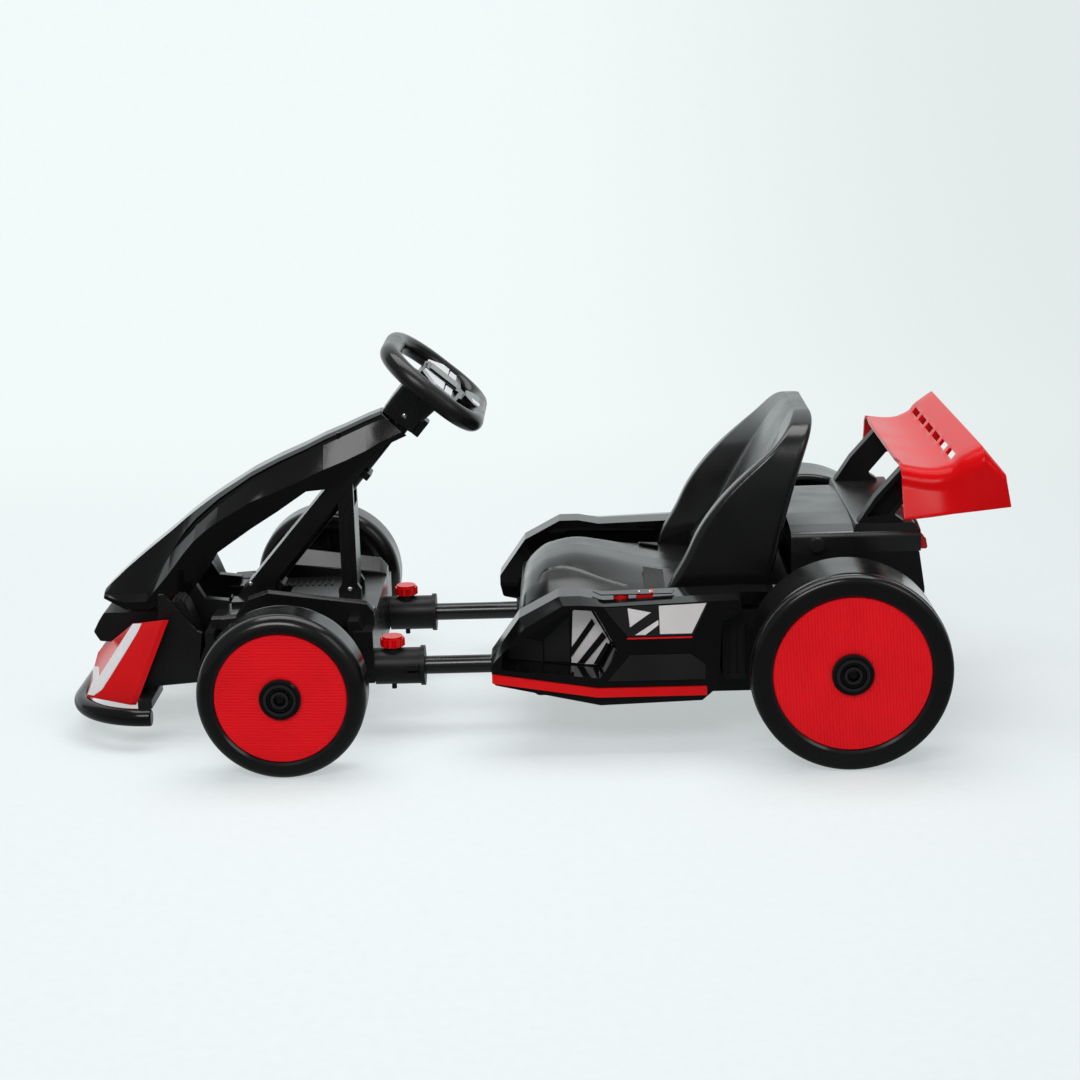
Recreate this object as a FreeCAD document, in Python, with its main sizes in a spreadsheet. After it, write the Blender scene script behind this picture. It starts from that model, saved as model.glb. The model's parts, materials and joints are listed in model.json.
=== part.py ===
import FreeCAD, Part
import Sketcher
import math
import os

# Electric drift kart, a child's ride-on, in millimetres.
# +X points forward, +Y to the kart's left and +Z up.
# The origin is on the floor under the middle of the overall length.

os.makedirs("parts", exist_ok=True)
doc = FreeCAD.newDocument("drift_kart")

# Driving dimensions: name, value, meaning
SIZES = [
    ("rear_axle_x", -415.75, "rear axle, measured from the origin"),
    ("wheelbase", 732.0, "rear axle to front axle"),
    ("front_tyre_r", 110.0, "front wheel radius"),
    ("rear_tyre_r", 130.0, "rear wheel radius"),
    ("front_tyre_w", 72.6, "front wheel width"),
    ("rear_tyre_w", 105.0, "rear wheel width"),
    ("front_face_y", 340.5, "outer face of a front wheel"),
    ("rear_face_y", 357.0, "outer face of a rear wheel"),
    ("front_disc_r", 86.0, "front cover disc radius"),
    ("rear_disc_r", 101.5, "rear cover disc radius"),
    ("front_shoulder_r", 16.5, "front tyre shoulder rounding"),
    ("rear_shoulder_r", 8.5, "rear tyre shoulder rounding"),
    ("disc_seat", 9.0, "depth of the disc seat below the wheel face"),
    ("disc_t", 5.0, "cover disc thickness"),
    ("cap_r", 27.0, "hub cap radius"),
    ("cap_proud", 3.0, "hub cap height above the wheel face"),
    ("wheel_hub_r", 20.0, "moulded hub radius"),
    ("wheel_web", 6.0, "moulded web thickness"),
    ("axle_r", 7.0, "axle and stub radius"),
    ("run_gap", 0.08, "radial running clearance"),
    ("end_gap", 0.3, "end clearance between parts that turn"),
    ("tube_r", 12.5, "frame tube radius"),
    ("tube_y", 136.0, "frame tube, from the middle"),
    ("tube_z", 90.5, "frame tube, above the floor"),
    ("tube_front", 76.0, "front end of the frame tubes, behind the front axle"),
    ("tube_in", 318.0, "length of the frame tubes inside the rear tub"),
    ("socket_r", 25.0, "outside radius of a tube socket"),
    ("socket_back", 174.0, "rear mouth of a tube socket, behind the front axle"),
    ("socket_len", 68.0, "length of a tube socket"),
    ("knob_r", 17.0, "clamp knob radius"),
    ("knob_h", 14.0, "clamp knob height"),
    ("knob_back", 130.0, "clamp knob, behind the front axle"),
    ("kingpin_y", 240.0, "kingpin, from the middle"),
    ("kingpin_r", 5.0, "kingpin radius"),
    ("barrel_r", 12.0, "knuckle barrel radius"),
    ("barrel_half", 24.0, "half height of the knuckle barrel"),
    ("arm_len", 60.0, "steering arm length"),
    ("arm_t", 8.0, "steering arm thickness"),
    ("rod_r", 6.0, "tie rod radius"),
    ("rod_drop", 10.0, "tie rod height above the front axle"),
    ("crank_e", 30.0, "crank throw of the steering column"),
    ("crank_pin_r", 4.0, "crank pin radius"),
    ("fork_gap", 2.0, "clearance of the crank pin in the tie rod fork"),
    ("column_len", 425.0, "steering wheel centre to the crank"),
    ("rod_pin_r", 3.0, "tie rod joint pin radius"),
    ("column_r", 8.0, "steering column radius"),
    ("column_tilt", 40.0, "steering wheel plane, from the horizontal, in degrees"),
    ("wheel_back", 187.0, "steering wheel centre, behind the front axle"),
    ("wheel_c_z", 456.0, "steering wheel centre, above the floor"),
    ("rim_half_w", 113.5, "steering wheel rim, centre line to the side"),
    ("rim_half_h", 72.5, "steering wheel rim, centre line up and down"),
    ("rim_r", 14.0, "steering wheel rim tube radius"),
    ("rim_rise", 9.0, "middle of the rim above the pivot point of the column"),
    ("deck_z", 160.0, "top of the foot deck"),
    ("deck_t", 14.0, "foot deck thickness"),
    ("deck_half", 128.0, "foot deck, half width"),
    ("ridge_w", 36.0, "raised ridge along each side of the foot deck"),
    ("rail_out", 60.0, "outside of the two chassis rails"),
    ("rail_in", 45.0, "inside of the two chassis rails"),
    ("rail_z", 60.0, "underside of the chassis rails"),
    ("bar_r", 12.0, "bumper bar radius"),
    ("bar_z", 44.0, "bumper bar, above the floor"),
    ("bar_half", 197.0, "bumper bar, half width"),
    ("bar_ahead", 309.0, "bumper bar centre line, ahead of the front axle"),
    ("bar_arm", 114.0, "side arms of the bumper bar, along the kart"),
    ("bar_bend", 108.0, "bumper bar bend radius"),
    ("tub_half", 196.0, "rear tub, half width"),
    ("tub_z", 62.0, "underside of the rear tub"),
    ("tub_wall", 8.0, "rear tub wall"),
    ("tub_ahead", 90.0, "rear wall of the rear tub, ahead of the rear axle"),
    ("tub_len", 339.0, "length of the rear tub"),
    ("tub_top", 150.0, "top edge of the rear tub"),
    ("pod_out", 262.0, "outer face of a side pod"),
    ("pod_recess", 44.0, "depth of the side pod opening"),
    ("pod_bevel", 22.0, "depth of the bevel around a side pod's face"),
    ("strip_t", 4.0, "side strip thickness"),
    ("strip_h", 12.0, "side strip height"),
    ("body_half", 150.0, "rear body, half width"),
    ("body_top", 238.0, "top of the rear body"),
    ("box_out", 236.0, "outer face of a gearbox"),
    ("seat_half", 165.0, "seat, half width"),
    ("wing_half", 195.0, "wing main plane, half width"),
    ("wing_out", 226.0, "outer face of a wing end plate"),
    ("wing_t", 7.0, "wing thickness"),
    ("hub_depth", 66.0, "steering wheel centre to the underside of the hub"),
    ("bracket_y", 60.0, "nose bracket, from the middle"),
    ("brace_deep", 26.5, "front edge of the brace, ahead of the column axis"),
    ("brace_in", 20.0, "inside of the brace and post cheeks"),
    ("brace_t", 10.0, "brace and post cheek thickness"),
    ("shell", 4.0, "wall of the nose cowl"),
    ("seat_gap", 0.3, "gap between pieces that rest on each other"),
]

sheet = doc.addObject("Spreadsheet::Sheet", "sizes")
for row, (name, value, meaning) in enumerate(SIZES, start=1):
    sheet.set("A%d" % row, meaning)
    sheet.set("B%d" % row, str(value))
    sheet.setAlias("B%d" % row, name)
doc.recompute()


class Size:
    """A length or angle that carries its value and its spreadsheet expression."""

    def __init__(self, value, text=None):
        self.value = float(value)
        self.text = text if text is not None else repr(float(value))

    def __add__(self, other):
        other = size(other)
        return Size(self.value + other.value, "(%s + %s)" % (self.text, other.text))

    def __sub__(self, other):
        other = size(other)
        return Size(self.value - other.value, "(%s - %s)" % (self.text, other.text))

    def __mul__(self, other):
        other = size(other)
        return Size(self.value * other.value, "(%s * %s)" % (self.text, other.text))

    def __truediv__(self, other):
        other = size(other)
        return Size(self.value / other.value, "(%s / %s)" % (self.text, other.text))

    def __radd__(self, other):
        return size(other) + self

    def __rsub__(self, other):
        return size(other) - self

    def __rmul__(self, other):
        return size(other) * self

    def __neg__(self):
        return Size(-self.value, "(0 - %s)" % self.text)


def size(item):
    return item if isinstance(item, Size) else Size(item)


def cell(name):
    return Size(sheet.get(name), "sizes." + name)


def cosine(angle):
    return Size(math.cos(math.radians(angle.value)), "cos(%s * 1deg)" % angle.text)


def sine(angle):
    return Size(math.sin(math.radians(angle.value)), "sin(%s * 1deg)" % angle.text)


def bind(target, path, item):
    """Set a property and tie it to its sheet expression."""
    item = size(item)
    if "sizes." in item.text:
        target.setExpression(path, item.text)
    elif "." not in path:
        setattr(target, path, item.value)
    else:
        target.setExpression(path, item.text)


def place(target, x=0.0, y=0.0, z=0.0, tilt=None):
    """Put a piece at x, y, z, with its +X end raised by tilt degrees."""
    if tilt is not None:
        turn = FreeCAD.Rotation(FreeCAD.Vector(0, -1, 0), size(tilt).value)
        target.Placement = FreeCAD.Placement(FreeCAD.Vector(0, 0, 0), turn)
        if "sizes." in size(tilt).text:
            target.setExpression(".Placement.Rotation.Angle", size(tilt).text + " * 1deg")
    for axis, item in (("x", x), ("y", y), ("z", z)):
        target.setExpression(".Placement.Base." + axis, size(item).text)


# Sketch plane: origin role, sign of the plane's normal along its own axis
PLANES = {
    "xy": ("XY_Plane", 1.0),
    "xz": ("XZ_Plane", -1.0),
    "yz": ("YZ_Plane", 1.0),
}


class Piece:
    """One sub-part: a PartDesign body and the features that shape it."""

    def __init__(self, label):
        self.body = doc.addObject("PartDesign::Body", label)
        self.body.Label = label
        self.count = 0

    def name(self, kind):
        self.count += 1
        return "%s_%s_%d" % (self.body.Label, kind, self.count)

    def sketch(self, plane, offset):
        role, normal = PLANES[plane]
        face = [f for f in self.body.Origin.OriginFeatures if f.Role == role][0]
        drawing = self.body.newObject("Sketcher::SketchObject", self.name("sketch"))
        drawing.AttachmentSupport = [(face, "")]
        drawing.MapMode = "FlatFace"
        shift = size(offset) if normal > 0 else -size(offset)
        drawing.setExpression(".AttachmentOffset.Base.z", shift.text)
        return drawing

    def polygon(self, drawing, points):
        points = [(size(a), size(b)) for a, b in points]
        first = drawing.GeometryCount
        total = len(points)
        lines = []
        for i in range(total):
            start = FreeCAD.Vector(points[i][0].value, points[i][1].value, 0)
            j = (i + 1) % total
            end = FreeCAD.Vector(points[j][0].value, points[j][1].value, 0)
            lines.append(Part.LineSegment(start, end))
        drawing.addGeometry(lines, False)
        for i in range(total):
            after = first + (i + 1) % total
            drawing.addConstraint(Sketcher.Constraint("Coincident", first + i, 2, after, 1))
        for i in range(total):
            for kind, item in (("DistanceX", points[i][0]), ("DistanceY", points[i][1])):
                k = drawing.addConstraint(
                    Sketcher.Constraint(kind, -1, 1, first + i, 1, item.value))
                if "sizes." in item.text:
                    drawing.setExpression("Constraints[%d]" % k, item.text)

    def circle(self, drawing, a, b, radius):
        a, b, radius = size(a), size(b), size(radius)
        centre = FreeCAD.Vector(a.value, b.value, 0)
        normal = FreeCAD.Vector(0, 0, 1)
        g = drawing.addGeometry(Part.Circle(centre, normal, radius.value), False)
        rows = (
            ("DistanceX", a, Sketcher.Constraint("DistanceX", -1, 1, g, 3, a.value)),
            ("DistanceY", b, Sketcher.Constraint("DistanceY", -1, 1, g, 3, b.value)),
            ("Radius", radius, Sketcher.Constraint("Radius", g, radius.value)),
        )
        for kind, item, constraint in rows:
            k = drawing.addConstraint(constraint)
            if "sizes." in item.text:
                drawing.setExpression("Constraints[%d]" % k, item.text)

    def rounded(self, drawing, points):
        """Closed outline whose corners carry a radius: a, b, radius."""
        corners = []
        total = len(points)
        for i in range(total):
            here = [size(item).value for item in points[i]]
            before = [size(item).value for item in points[i - 1][:2]]
            after = [size(item).value for item in points[(i + 1) % total][:2]]
            p = FreeCAD.Vector(here[0], here[1], 0)
            u = FreeCAD.Vector(before[0], before[1], 0) - p
            v = FreeCAD.Vector(after[0], after[1], 0) - p
            u.normalize()
            v.normalize()
            half = math.acos(max(-1.0, min(1.0, u.dot(v)))) / 2.0
            reach = here[2] / math.tan(half)
            middle = (u + v).normalize()
            centre = p + middle * (here[2] / math.sin(half))
            corners.append((p + u * reach, centre - middle * here[2], p + v * reach))
        for i, (start, top, end) in enumerate(corners):
            drawing.addGeometry(Part.Arc(start, top, end), False)
            drawing.addGeometry(Part.LineSegment(end, corners[(i + 1) % total][0]), False)

    def draw(self, drawing, shape):
        if shape[0] == "circle":
            self.circle(drawing, *shape[1:])
        elif len(shape[0]) == 3:
            self.rounded(drawing, shape)
        else:
            self.polygon(drawing, shape)

    def pad(self, plane, low, high, *shapes):
        """Add material between two heights along the plane's axis."""
        low, high = size(low), size(high)
        start = low if PLANES[plane][1] > 0 else high
        drawing = self.sketch(plane, start)
        for shape in shapes:
            self.draw(drawing, shape)
        feature = self.body.newObject("PartDesign::Pad", self.name("pad"))
        feature.Profile = drawing
        bind(feature, "Length", high - low)
        return feature

    def pocket(self, plane, low, high, *shapes):
        """Remove material between two heights along the plane's axis."""
        low, high = size(low), size(high)
        start = high if PLANES[plane][1] > 0 else low
        drawing = self.sketch(plane, start)
        for shape in shapes:
            self.draw(drawing, shape)
        feature = self.body.newObject("PartDesign::Pocket", self.name("pocket"))
        feature.Profile = drawing
        bind(feature, "Length", high - low)
        return feature

    def revolve(self, plane, points, axis="V_Axis", groove=False):
        """Turn a profile through a full circle about a sketch axis."""
        drawing = self.sketch(plane, 0.0)
        self.polygon(drawing, points)
        kind = "PartDesign::Groove" if groove else "PartDesign::Revolution"
        feature = self.body.newObject(kind, self.name("turn"))
        feature.Profile = drawing
        feature.ReferenceAxis = (drawing, [axis])
        feature.Angle = 360.0
        return feature

    def loft(self, plane, stations, cut=False, smooth=False):
        """Join outlines at several heights, with a flat-sided or a smooth skin."""
        drawings = []
        for offset, shape in stations:
            drawing = self.sketch(plane, offset)
            self.draw(drawing, shape)
            drawings.append(drawing)
        kind = "PartDesign::SubtractiveLoft" if cut else "PartDesign::AdditiveLoft"
        feature = self.body.newObject(kind, self.name("loft"))
        feature.Profile = drawings[0]
        feature.Sections = drawings[1:]
        feature.Ruled = not smooth
        return feature

    def fillet(self, radius, chosen):
        """Round the edges that a test picks out."""
        doc.recompute()
        base = self.body.Tip
        names = []
        for i, edge in enumerate(base.Shape.Edges, start=1):
            if chosen(edge):
                names.append("Edge%d" % i)
        feature = self.body.newObject("PartDesign::Fillet", self.name("fillet"))
        feature.Base = (base, names)
        bind(feature, "Radius", radius)
        return feature

    def place(self, *args, **kwargs):
        place(self.body, *args, **kwargs)


def box(x_low, x_high, y_low, y_high):
    """Rectangle outline for a sketch."""
    return [(x_low, y_low), (x_high, y_low), (x_high, y_high), (x_low, y_high)]


def span(side, near, far):
    """A left-hand stretch along Y, or its mirror image."""
    near, far = size(near), size(far)
    return (near, far) if side > 0 else (-far, -near)


def at_circle(radius, along_y=None):
    """Edge test: a circle of this radius, at this height along Y."""
    def chosen(edge):
        curve = edge.Curve
        if not isinstance(curve, Part.Circle):
            return False
        if abs(curve.Radius - radius) > 0.01:
            return False
        return along_y is None or abs(curve.Center.y - along_y) < 0.01
    return chosen


def anchor(base, drawn):
    """Coordinates that keep their distance from a sized place when it moves."""
    return lambda value: base + (value - drawn)


def around(radius_a, radius_b, teeth):
    """Outline of a toothed rim, from an outer and an inner radius."""
    points = []
    for i in range(2 * teeth):
        radius = size(radius_a if i % 2 == 0 else radius_b)
        angle = math.pi * i / teeth
        points.append((radius * math.cos(angle), radius * math.sin(angle)))
    return points


def moved(points, a, b):
    """The same outline, shifted."""
    return [(size(p) + a, size(q) + b) for p, q in points]


SIDES = (("left", 1.0), ("right", -1.0))

rear_x = cell("rear_axle_x")
front_x = rear_x + cell("wheelbase")
tub_r = rear_x + cell("tub_ahead")
tub_f = tub_r + cell("tub_len")

# Where a drawn coordinate is measured from: the axles, the tub and the main heights
fore = anchor(front_x, 312.0)
aft = anchor(rear_x, -420.0)
mid = anchor(tub_f, 9.0)
back = anchor(tub_r, -330.0)
deck = anchor(cell("deck_z"), 160.0)
head = anchor(cell("wheel_c_z"), 456.0)
roof = anchor(cell("body_top"), 238.0)
sill = anchor(cell("tub_z"), 62.0)
rest = cell("seat_gap")
front_z = cell("front_tyre_r")
rear_z = cell("rear_tyre_r")
axle_r = cell("axle_r")
bore_r = axle_r + cell("run_gap")
end_gap = cell("end_gap")

# Wheels: a one-piece moulded wheel and tyre, a cover disc and a hub cap
WHEELS = [
    # name, axle x, radius, width, outer face, disc radius, shoulder, groove
    ("front", front_x, front_z, cell("front_tyre_w"), cell("front_face_y"),
     cell("front_disc_r"), cell("front_shoulder_r"), False),
    ("rear", rear_x, rear_z, cell("rear_tyre_w"), cell("rear_face_y"),
     cell("rear_disc_r"), cell("rear_shoulder_r"), True),
]
seat_in = cell("disc_seat")
disc_t = cell("disc_t")
cap_r = cell("cap_r")
hub_r = cell("wheel_hub_r")
for end, axle_x, tyre_r, width, face_y, disc_r, shoulder_r, band in WHEELS:
    for hand, side in SIDES:
        web_out = -(seat_in + 20.0)
        web_in = web_out - cell("wheel_web")
        tyre = Piece("%s_tyre_%s" % (end, hand))
        seat_r = disc_r + 0.3
        outline = [
            (bore_r, -width + 4.0),
            (hub_r, -width + 4.0),
            (hub_r, web_in),
            (disc_r - 12.0, web_in),
            (disc_r - 6.0, -width + 6.0),
            (disc_r + 2.0, -width),
            (tyre_r, -width),
        ]
        if band:
            outline += [
                (tyre_r, -(shoulder_r + 9.0)),
                (tyre_r - 1.6, -(shoulder_r + 8.0)),
                (tyre_r - 1.0, -(shoulder_r + 6.4)),
                (tyre_r - 1.0, 0.0),
            ]
        else:
            outline += [(tyre_r, 0.0)]
        outline += [
            (seat_r + 3.0, 0.0),
            (seat_r, -2.5),
            (seat_r, -seat_in),
            (disc_r - 8.0, -seat_in),
            (disc_r - 12.0, web_out),
            (hub_r, web_out),
            (hub_r, -seat_in),
            (bore_r, -seat_in),
        ]
        tyre.revolve("xy", [(a, size(b) * side) for a, b in outline])
        ribs = []
        for i in range(8):
            a = math.cos(math.pi * i / 4.0)
            b = math.sin(math.pi * i / 4.0)
            near, far = hub_r - 1.0, disc_r - 8.0
            ribs.append([(near * a - 2.5 * b, near * b + 2.5 * a),
                         (far * a - 2.5 * b, far * b + 2.5 * a),
                         (far * a + 2.5 * b, far * b - 2.5 * a),
                         (near * a + 2.5 * b, near * b - 2.5 * a)])
        low, high = span(side, web_in - 14.0, web_in + 1.0)
        tyre.pad("xz", low, high, *ribs)
        inner = -side * width.value
        tyre.fillet(shoulder_r, at_circle(tyre_r.value, inner))
        outer_r = tyre_r.value - (1.0 if band else 0.0)
        tyre.fillet(shoulder_r, at_circle(outer_r, 0.0))
        tyre.place(axle_x, face_y * side, tyre_r)

        disc = Piece("%s_disc_%s" % (end, hand))
        disc_out = -(seat_in - disc_t)
        outline = [
            (bore_r + 1.0, -seat_in),
            (disc_r, -seat_in),
            (disc_r, disc_out - 1.2),
            (disc_r - 1.2, disc_out),
            (bore_r + 1.0, disc_out),
        ]
        disc.revolve("xy", [(a, size(b) * side) for a, b in outline])
        disc.place(axle_x, face_y * side, tyre_r)

        cap = Piece("%s_cap_%s" % (end, hand))
        cap_out = cell("cap_proud")
        cap.revolve("xy", [(a, size(b) * side) for a, b in [
            (0.0, disc_out),
            (cap_r, disc_out),
            (cap_r, cap_out - 2.0),
            (cap_r - 2.0, cap_out),
            (cap_r - 6.0, cap_out),
            (cap_r - 8.0, cap_out - 2.5),
            (cap_r - 10.0, cap_out - 2.5),
            (cap_r - 11.0, cap_out - 1.0),
            (0.0, cap_out - 1.0),
        ]])
        low, high = span(side, cap_out - 6.0, cap_out + 1.0)
        cap.pocket("xz", low, high, around(cap_r - 12.5, cap_r - 14.2, 12))
        cap.revolve("xy", [(a, size(b) * side) for a, b in [
            (0.0, cap_out - 7.0),
            (9.0, cap_out - 7.0),
            (9.0, cap_out - 4.5),
            (7.5, cap_out - 3.0),
            (4.5, cap_out - 2.0),
            (0.0, cap_out - 1.7),
        ]])
        cap.place(axle_x, face_y * side, tyre_r)

# Rear axle, from wheel to wheel
axle = Piece("rear_axle")
axle_end = cell("rear_face_y") - seat_in - end_gap
axle.pad("xz", -axle_end, axle_end, ("circle", rear_x, rear_z, axle_r))

# Frame tubes: the front section slides along them
tube_r = cell("tube_r")
tube_y = cell("tube_y")
tube_z = cell("tube_z")
for hand, side in SIDES:
    tube = Piece("tube_" + hand)
    tube.pad("yz", tub_f - cell("tube_in"), front_x - cell("tube_front"),
             ("circle", tube_y * side, tube_z, tube_r),
             ("circle", tube_y * side, tube_z, tube_r - 2.0))

# Rear tub: an open tray that carries the seat
tub_half = cell("tub_half")
tub_z = cell("tub_z")
tub_top = cell("tub_top")
tub_wall = cell("tub_wall")
tub = Piece("rear_tub")
tub.pad("xz", -tub_half, tub_half, [
    (tub_f, tub_z + 18.0, 3.0), (tub_f, tub_top, 3.0), (tub_r, tub_top, 2.0),
    (tub_r, tub_z, 4.0), (tub_f - 26.0, tub_z, 10.0),
])
middle = (tub_f + tub_r) / 2.0
for x_low, x_high in ((middle + 4.0, tub_f - 40.0), (tub_r + tub_wall, middle - 4.0)):
    inner = tub_half - tub_wall
    tub.pocket("xy", tub_z + tub_wall, tub_top + 20.0, [
        (x_low, -inner, 8.0), (x_high, -inner, 8.0), (x_high, inner, 8.0), (x_low, inner, 8.0)])
for side in (1.0, -1.0):
    tub.pad("yz", tub_f - 1.0, tub_f + 9.0, ("circle", tube_y * side, tube_z, tube_r + 6.0))
# stiffening ribs across the underside
tub.pad("xz", -tub_half + 20.0, tub_half - 20.0,
        *[box(mid(x), mid(x) + 4.0, tub_z - 5.0, tub_z + 1.0) for x in (-60, -120, -180, -240, -300)])
tub.pocket("yz", tub_f - cell("tube_in"), tub_f + 20.0,
           ("circle", tube_y, tube_z, tube_r + 0.05),
           ("circle", -tube_y, tube_z, tube_r + 0.05))

# Side pods: moulded boxes with a bevelled face and a deep opening
pod_out = cell("pod_out")
pod_bevel = cell("pod_bevel")
pod_floor = pod_out - cell("pod_recess")
POD = [
    # x and z of the silhouette, then of the outer face inside the bevel
    (44.0, 114.0, 42.5, 115.0), (44.0, 128.0, 41.0, 127.0), (5.0, 183.0, -3.0, 175.0),
    (-48.0, 211.0, -53.0, 204.0), (-76.0, 211.0, -77.0, 204.0), (-107.0, 205.0, -110.0, 201.5),
    (-288.0, 209.5, -286.0, 207.0), (-288.0, 190.0, -286.0, 191.0), (-262.0, 176.0, -261.0, 177.0),
    (-256.0, 88.0, -255.0, 89.0), (-235.0, 69.0, -234.0, 71.0), (-100.0, 65.0, -100.0, 67.0),
    (40.0, 96.0, 39.0, 98.0),
]
POD_OPENING = [
    # x and z at the outer face, then at the floor of the opening
    (30.0, 118.0, 22.0, 121.0), (28.0, 142.0, 20.0, 139.0), (-62.0, 199.0, -63.0, 190.0),
    (-95.0, 196.0, -90.0, 189.0), (-124.0, 141.0, -116.0, 141.0), (-101.0, 104.0, -98.0, 108.0),
]
STRIP_LINE = [
    # x, z of the strip's lower edge
    (42.0, 101.6), (-97.0, 79.0), (-240.0, 79.0),
]
switch_y = pod_out - 31.0
button_x = mid(-130.0)
rocker_x = mid(-161.0)
switch_low = sill(204.5)
for hand, side in SIDES:
    pod = Piece("pod_" + hand)
    body = [(mid(a), sill(b), 5.0) for a, b, c, d in POD]
    face = [(mid(c), sill(d), 4.0) for a, b, c, d in POD]
    pod.loft("xz", [(tub_half * side, body), ((pod_out - pod_bevel) * side, body),
                    (pod_out * side, face)])
    rim = [(mid(a), sill(b), 3.0) for a, b, c, d in POD_OPENING]
    floor = [(mid(c), sill(d), 3.0) for a, b, c, d in POD_OPENING]
    pod.loft("xz", [((pod_out + 1.0) * side, rim), (pod_floor * side, floor)], cut=True)
    low, high = span(side, pod_floor - 1.0, pod_out - 8.0)
    ribs = []
    for x in (-84.0, -66.0, -48.0, -30.0, -12.0, 6.0):
        base = 118.0 + (x - 26.0) * 0.1
        ribs.append([(mid(x), sill(base - 3.0)), (mid(x + 3.0), sill(base - 2.7)),
                     (mid(x + 3.0), sill(base + 2.8)), (mid(x), sill(base + 2.5))])
    pod.pad("xz", low, high, *ribs)
    # lower panel, a shallow recess with a sloping front end
    low, high = span(side, pod_out - 1.6, pod_out + 2.0)
    pod.pocket("xz", low, high, [
        (mid(-140.0), sill(137.0), 2.0), (mid(-222.0), sill(137.0), 2.0),
        (mid(-241.0), sill(121.0), 2.0), (mid(-241.0), sill(97.0), 2.0),
        (mid(-106.0), sill(97.0), 2.0)])
    # inner wall, thinned between the tub and the top rail
    low, high = span(side, tub_half - 2.0, tub_half + 6.0)
    pod.pocket("xz", low, high, [
        (mid(-20.0), sill(160.0), 6.0), (mid(-60.0), sill(196.0), 6.0),
        (mid(-240.0), sill(192.0), 6.0), (mid(-240.0), sill(160.0), 6.0)])
    # top rail, carried on behind the face
    low, high = span(side, tub_half, pod_out - 30.0)
    pod.pad("xz", low, high, [
        (mid(-280.0), sill(192.0), 1.0), (mid(-280.0), sill(209.8), 1.0),
        (mid(-345.0), sill(208.0), 4.0), (mid(-345.0), sill(194.0), 4.0)])
    if side > 0:
        pod.pocket("xy", switch_low, switch_low + 20.0,
                   ("circle", button_x, switch_y, 10.3))
        pod.pocket("xy", switch_low, switch_low + 20.0,
                   box(rocker_x - 11.3, rocker_x + 11.3, switch_y - 7.3, switch_y + 7.3))

    strip = Piece("strip_" + hand)
    low, high = span(side, pod_out, pod_out + cell("strip_t"))
    lower = [(mid(x), sill(z)) for x, z in STRIP_LINE]
    upper = [(x, z + cell("strip_h")) for x, z in reversed(lower)]
    strip.pad("xz", low, high, [(x, z, 1.5) for x, z in lower + upper])

# Rear body: housing of the battery and the drive, behind the seat
body_half = cell("body_half")
body_top = cell("body_top")
rear_body = Piece("rear_body")
rear_body.pad("xz", -body_half, body_half, [
    (tub_r, tub_z + 4.0, 3.0), (tub_r, roof(186.0), 3.0), (back(-362.0), roof(203.0), 6.0),
    (back(-362.0), body_top, 2.0), (aft(-534.0), body_top, 2.0), (aft(-542.0), roof(184.0), 20.0),
    (aft(-530.0), tub_z + 48.0, 20.0), (aft(-480.0), tub_z + 22.0, 20.0),
    (aft(-400.0), tub_z + 4.0, 20.0),
])
rear_body.pocket("xz", -body_half, body_half, ("circle", rear_x, rear_z, axle_r + 0.05))
# cooling slots in the rear wall
slots = [box(-60.0, 60.0, rear_z + 14.0 + 12.0 * i, rear_z + 19.0 + 12.0 * i) for i in range(4)]
rear_body.pocket("yz", aft(-560.0), aft(-528.0), *slots)

cover = Piece("rear_cover")
cover_front = back(-362.0)
cover.pad("yz", aft(-536.0), cover_front, [
    (-body_half, body_top, 0.5), (-body_half, roof(266.0), 8.0), (-118.0, roof(271.0), 20.0),
    (-60.0, roof(274.0), 20.0), (60.0, roof(274.0), 20.0), (118.0, roof(271.0), 20.0),
    (body_half, roof(266.0), 8.0), (body_half, body_top, 0.5),
])
foot_z = roof(277.0)
cover.pad("xz", -body_half + 3.0, body_half - 3.0, [
    (aft(-444.0), roof(260.0), 1.0), (aft(-449.0), foot_z, 2.0), (aft(-528.0), foot_z, 4.0),
    (aft(-534.0), roof(260.0), 1.0),
])
for hand, side in SIDES:
    low, high = span(side, body_half - 1.0, body_half + 10.0)
    cover.pad("xz", low, high, ("circle", aft(-396.0), roof(251.0), 10.0))
    low, high = span(side, body_half + 9.0, body_half + 12.0)
    cover.pad("xz", low, high, ("circle", aft(-396.0), roof(251.0), 8.5))

# Gearboxes beside the rear body, on the axle, with a ribbed guard ahead of the wheel
box_out = cell("box_out")
for hand, side in SIDES:
    gearbox = Piece("gearbox_" + hand)
    low, high = span(side, body_half, box_out)
    gearbox.pad("xz", low, high, [
        (aft(-336.0), rear_z - 46.0, 4.0), (aft(-336.0), rear_z + 48.0, 8.0),
        (aft(-392.0), rear_z + 66.0, 14.0), (aft(-448.0), rear_z + 60.0, 14.0),
        (aft(-480.0), rear_z + 30.0, 14.0), (aft(-480.0), rear_z - 20.0, 14.0),
        (aft(-452.0), rear_z - 50.0, 14.0), (aft(-400.0), rear_z - 58.0, 14.0),
    ])
    low, high = span(side, tub_half + rest, box_out)
    gearbox.pad("xz", low, high, [
        (mid(-262.6), sill(92.0), 2.0), (mid(-262.6), sill(172.0), 2.0),
        (mid(-289.0), sill(186.0), 3.0), (aft(-350.0), sill(178.0), 1.0),
        (aft(-350.0), sill(88.0), 1.0),
    ])
    low, high = span(side, box_out - 4.0, box_out + 1.0)
    gearbox.pocket("xz", low, high,
                   *[box(mid(x), mid(x) + 6.0, sill(98.0), sill(166.0))
                     for x in (-274.0, -286.0, -298.0, -310.0)])
    low, high = span(side, box_out - 1.0, box_out + 5.0)
    gearbox.pad("xz", low, high, ("circle", rear_x, rear_z, axle_r + 14.0))
    low, high = span(side, body_half - 1.0, cell("rear_face_y"))
    gearbox.pocket("xz", low, high, ("circle", rear_x, rear_z, bore_r))

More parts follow.
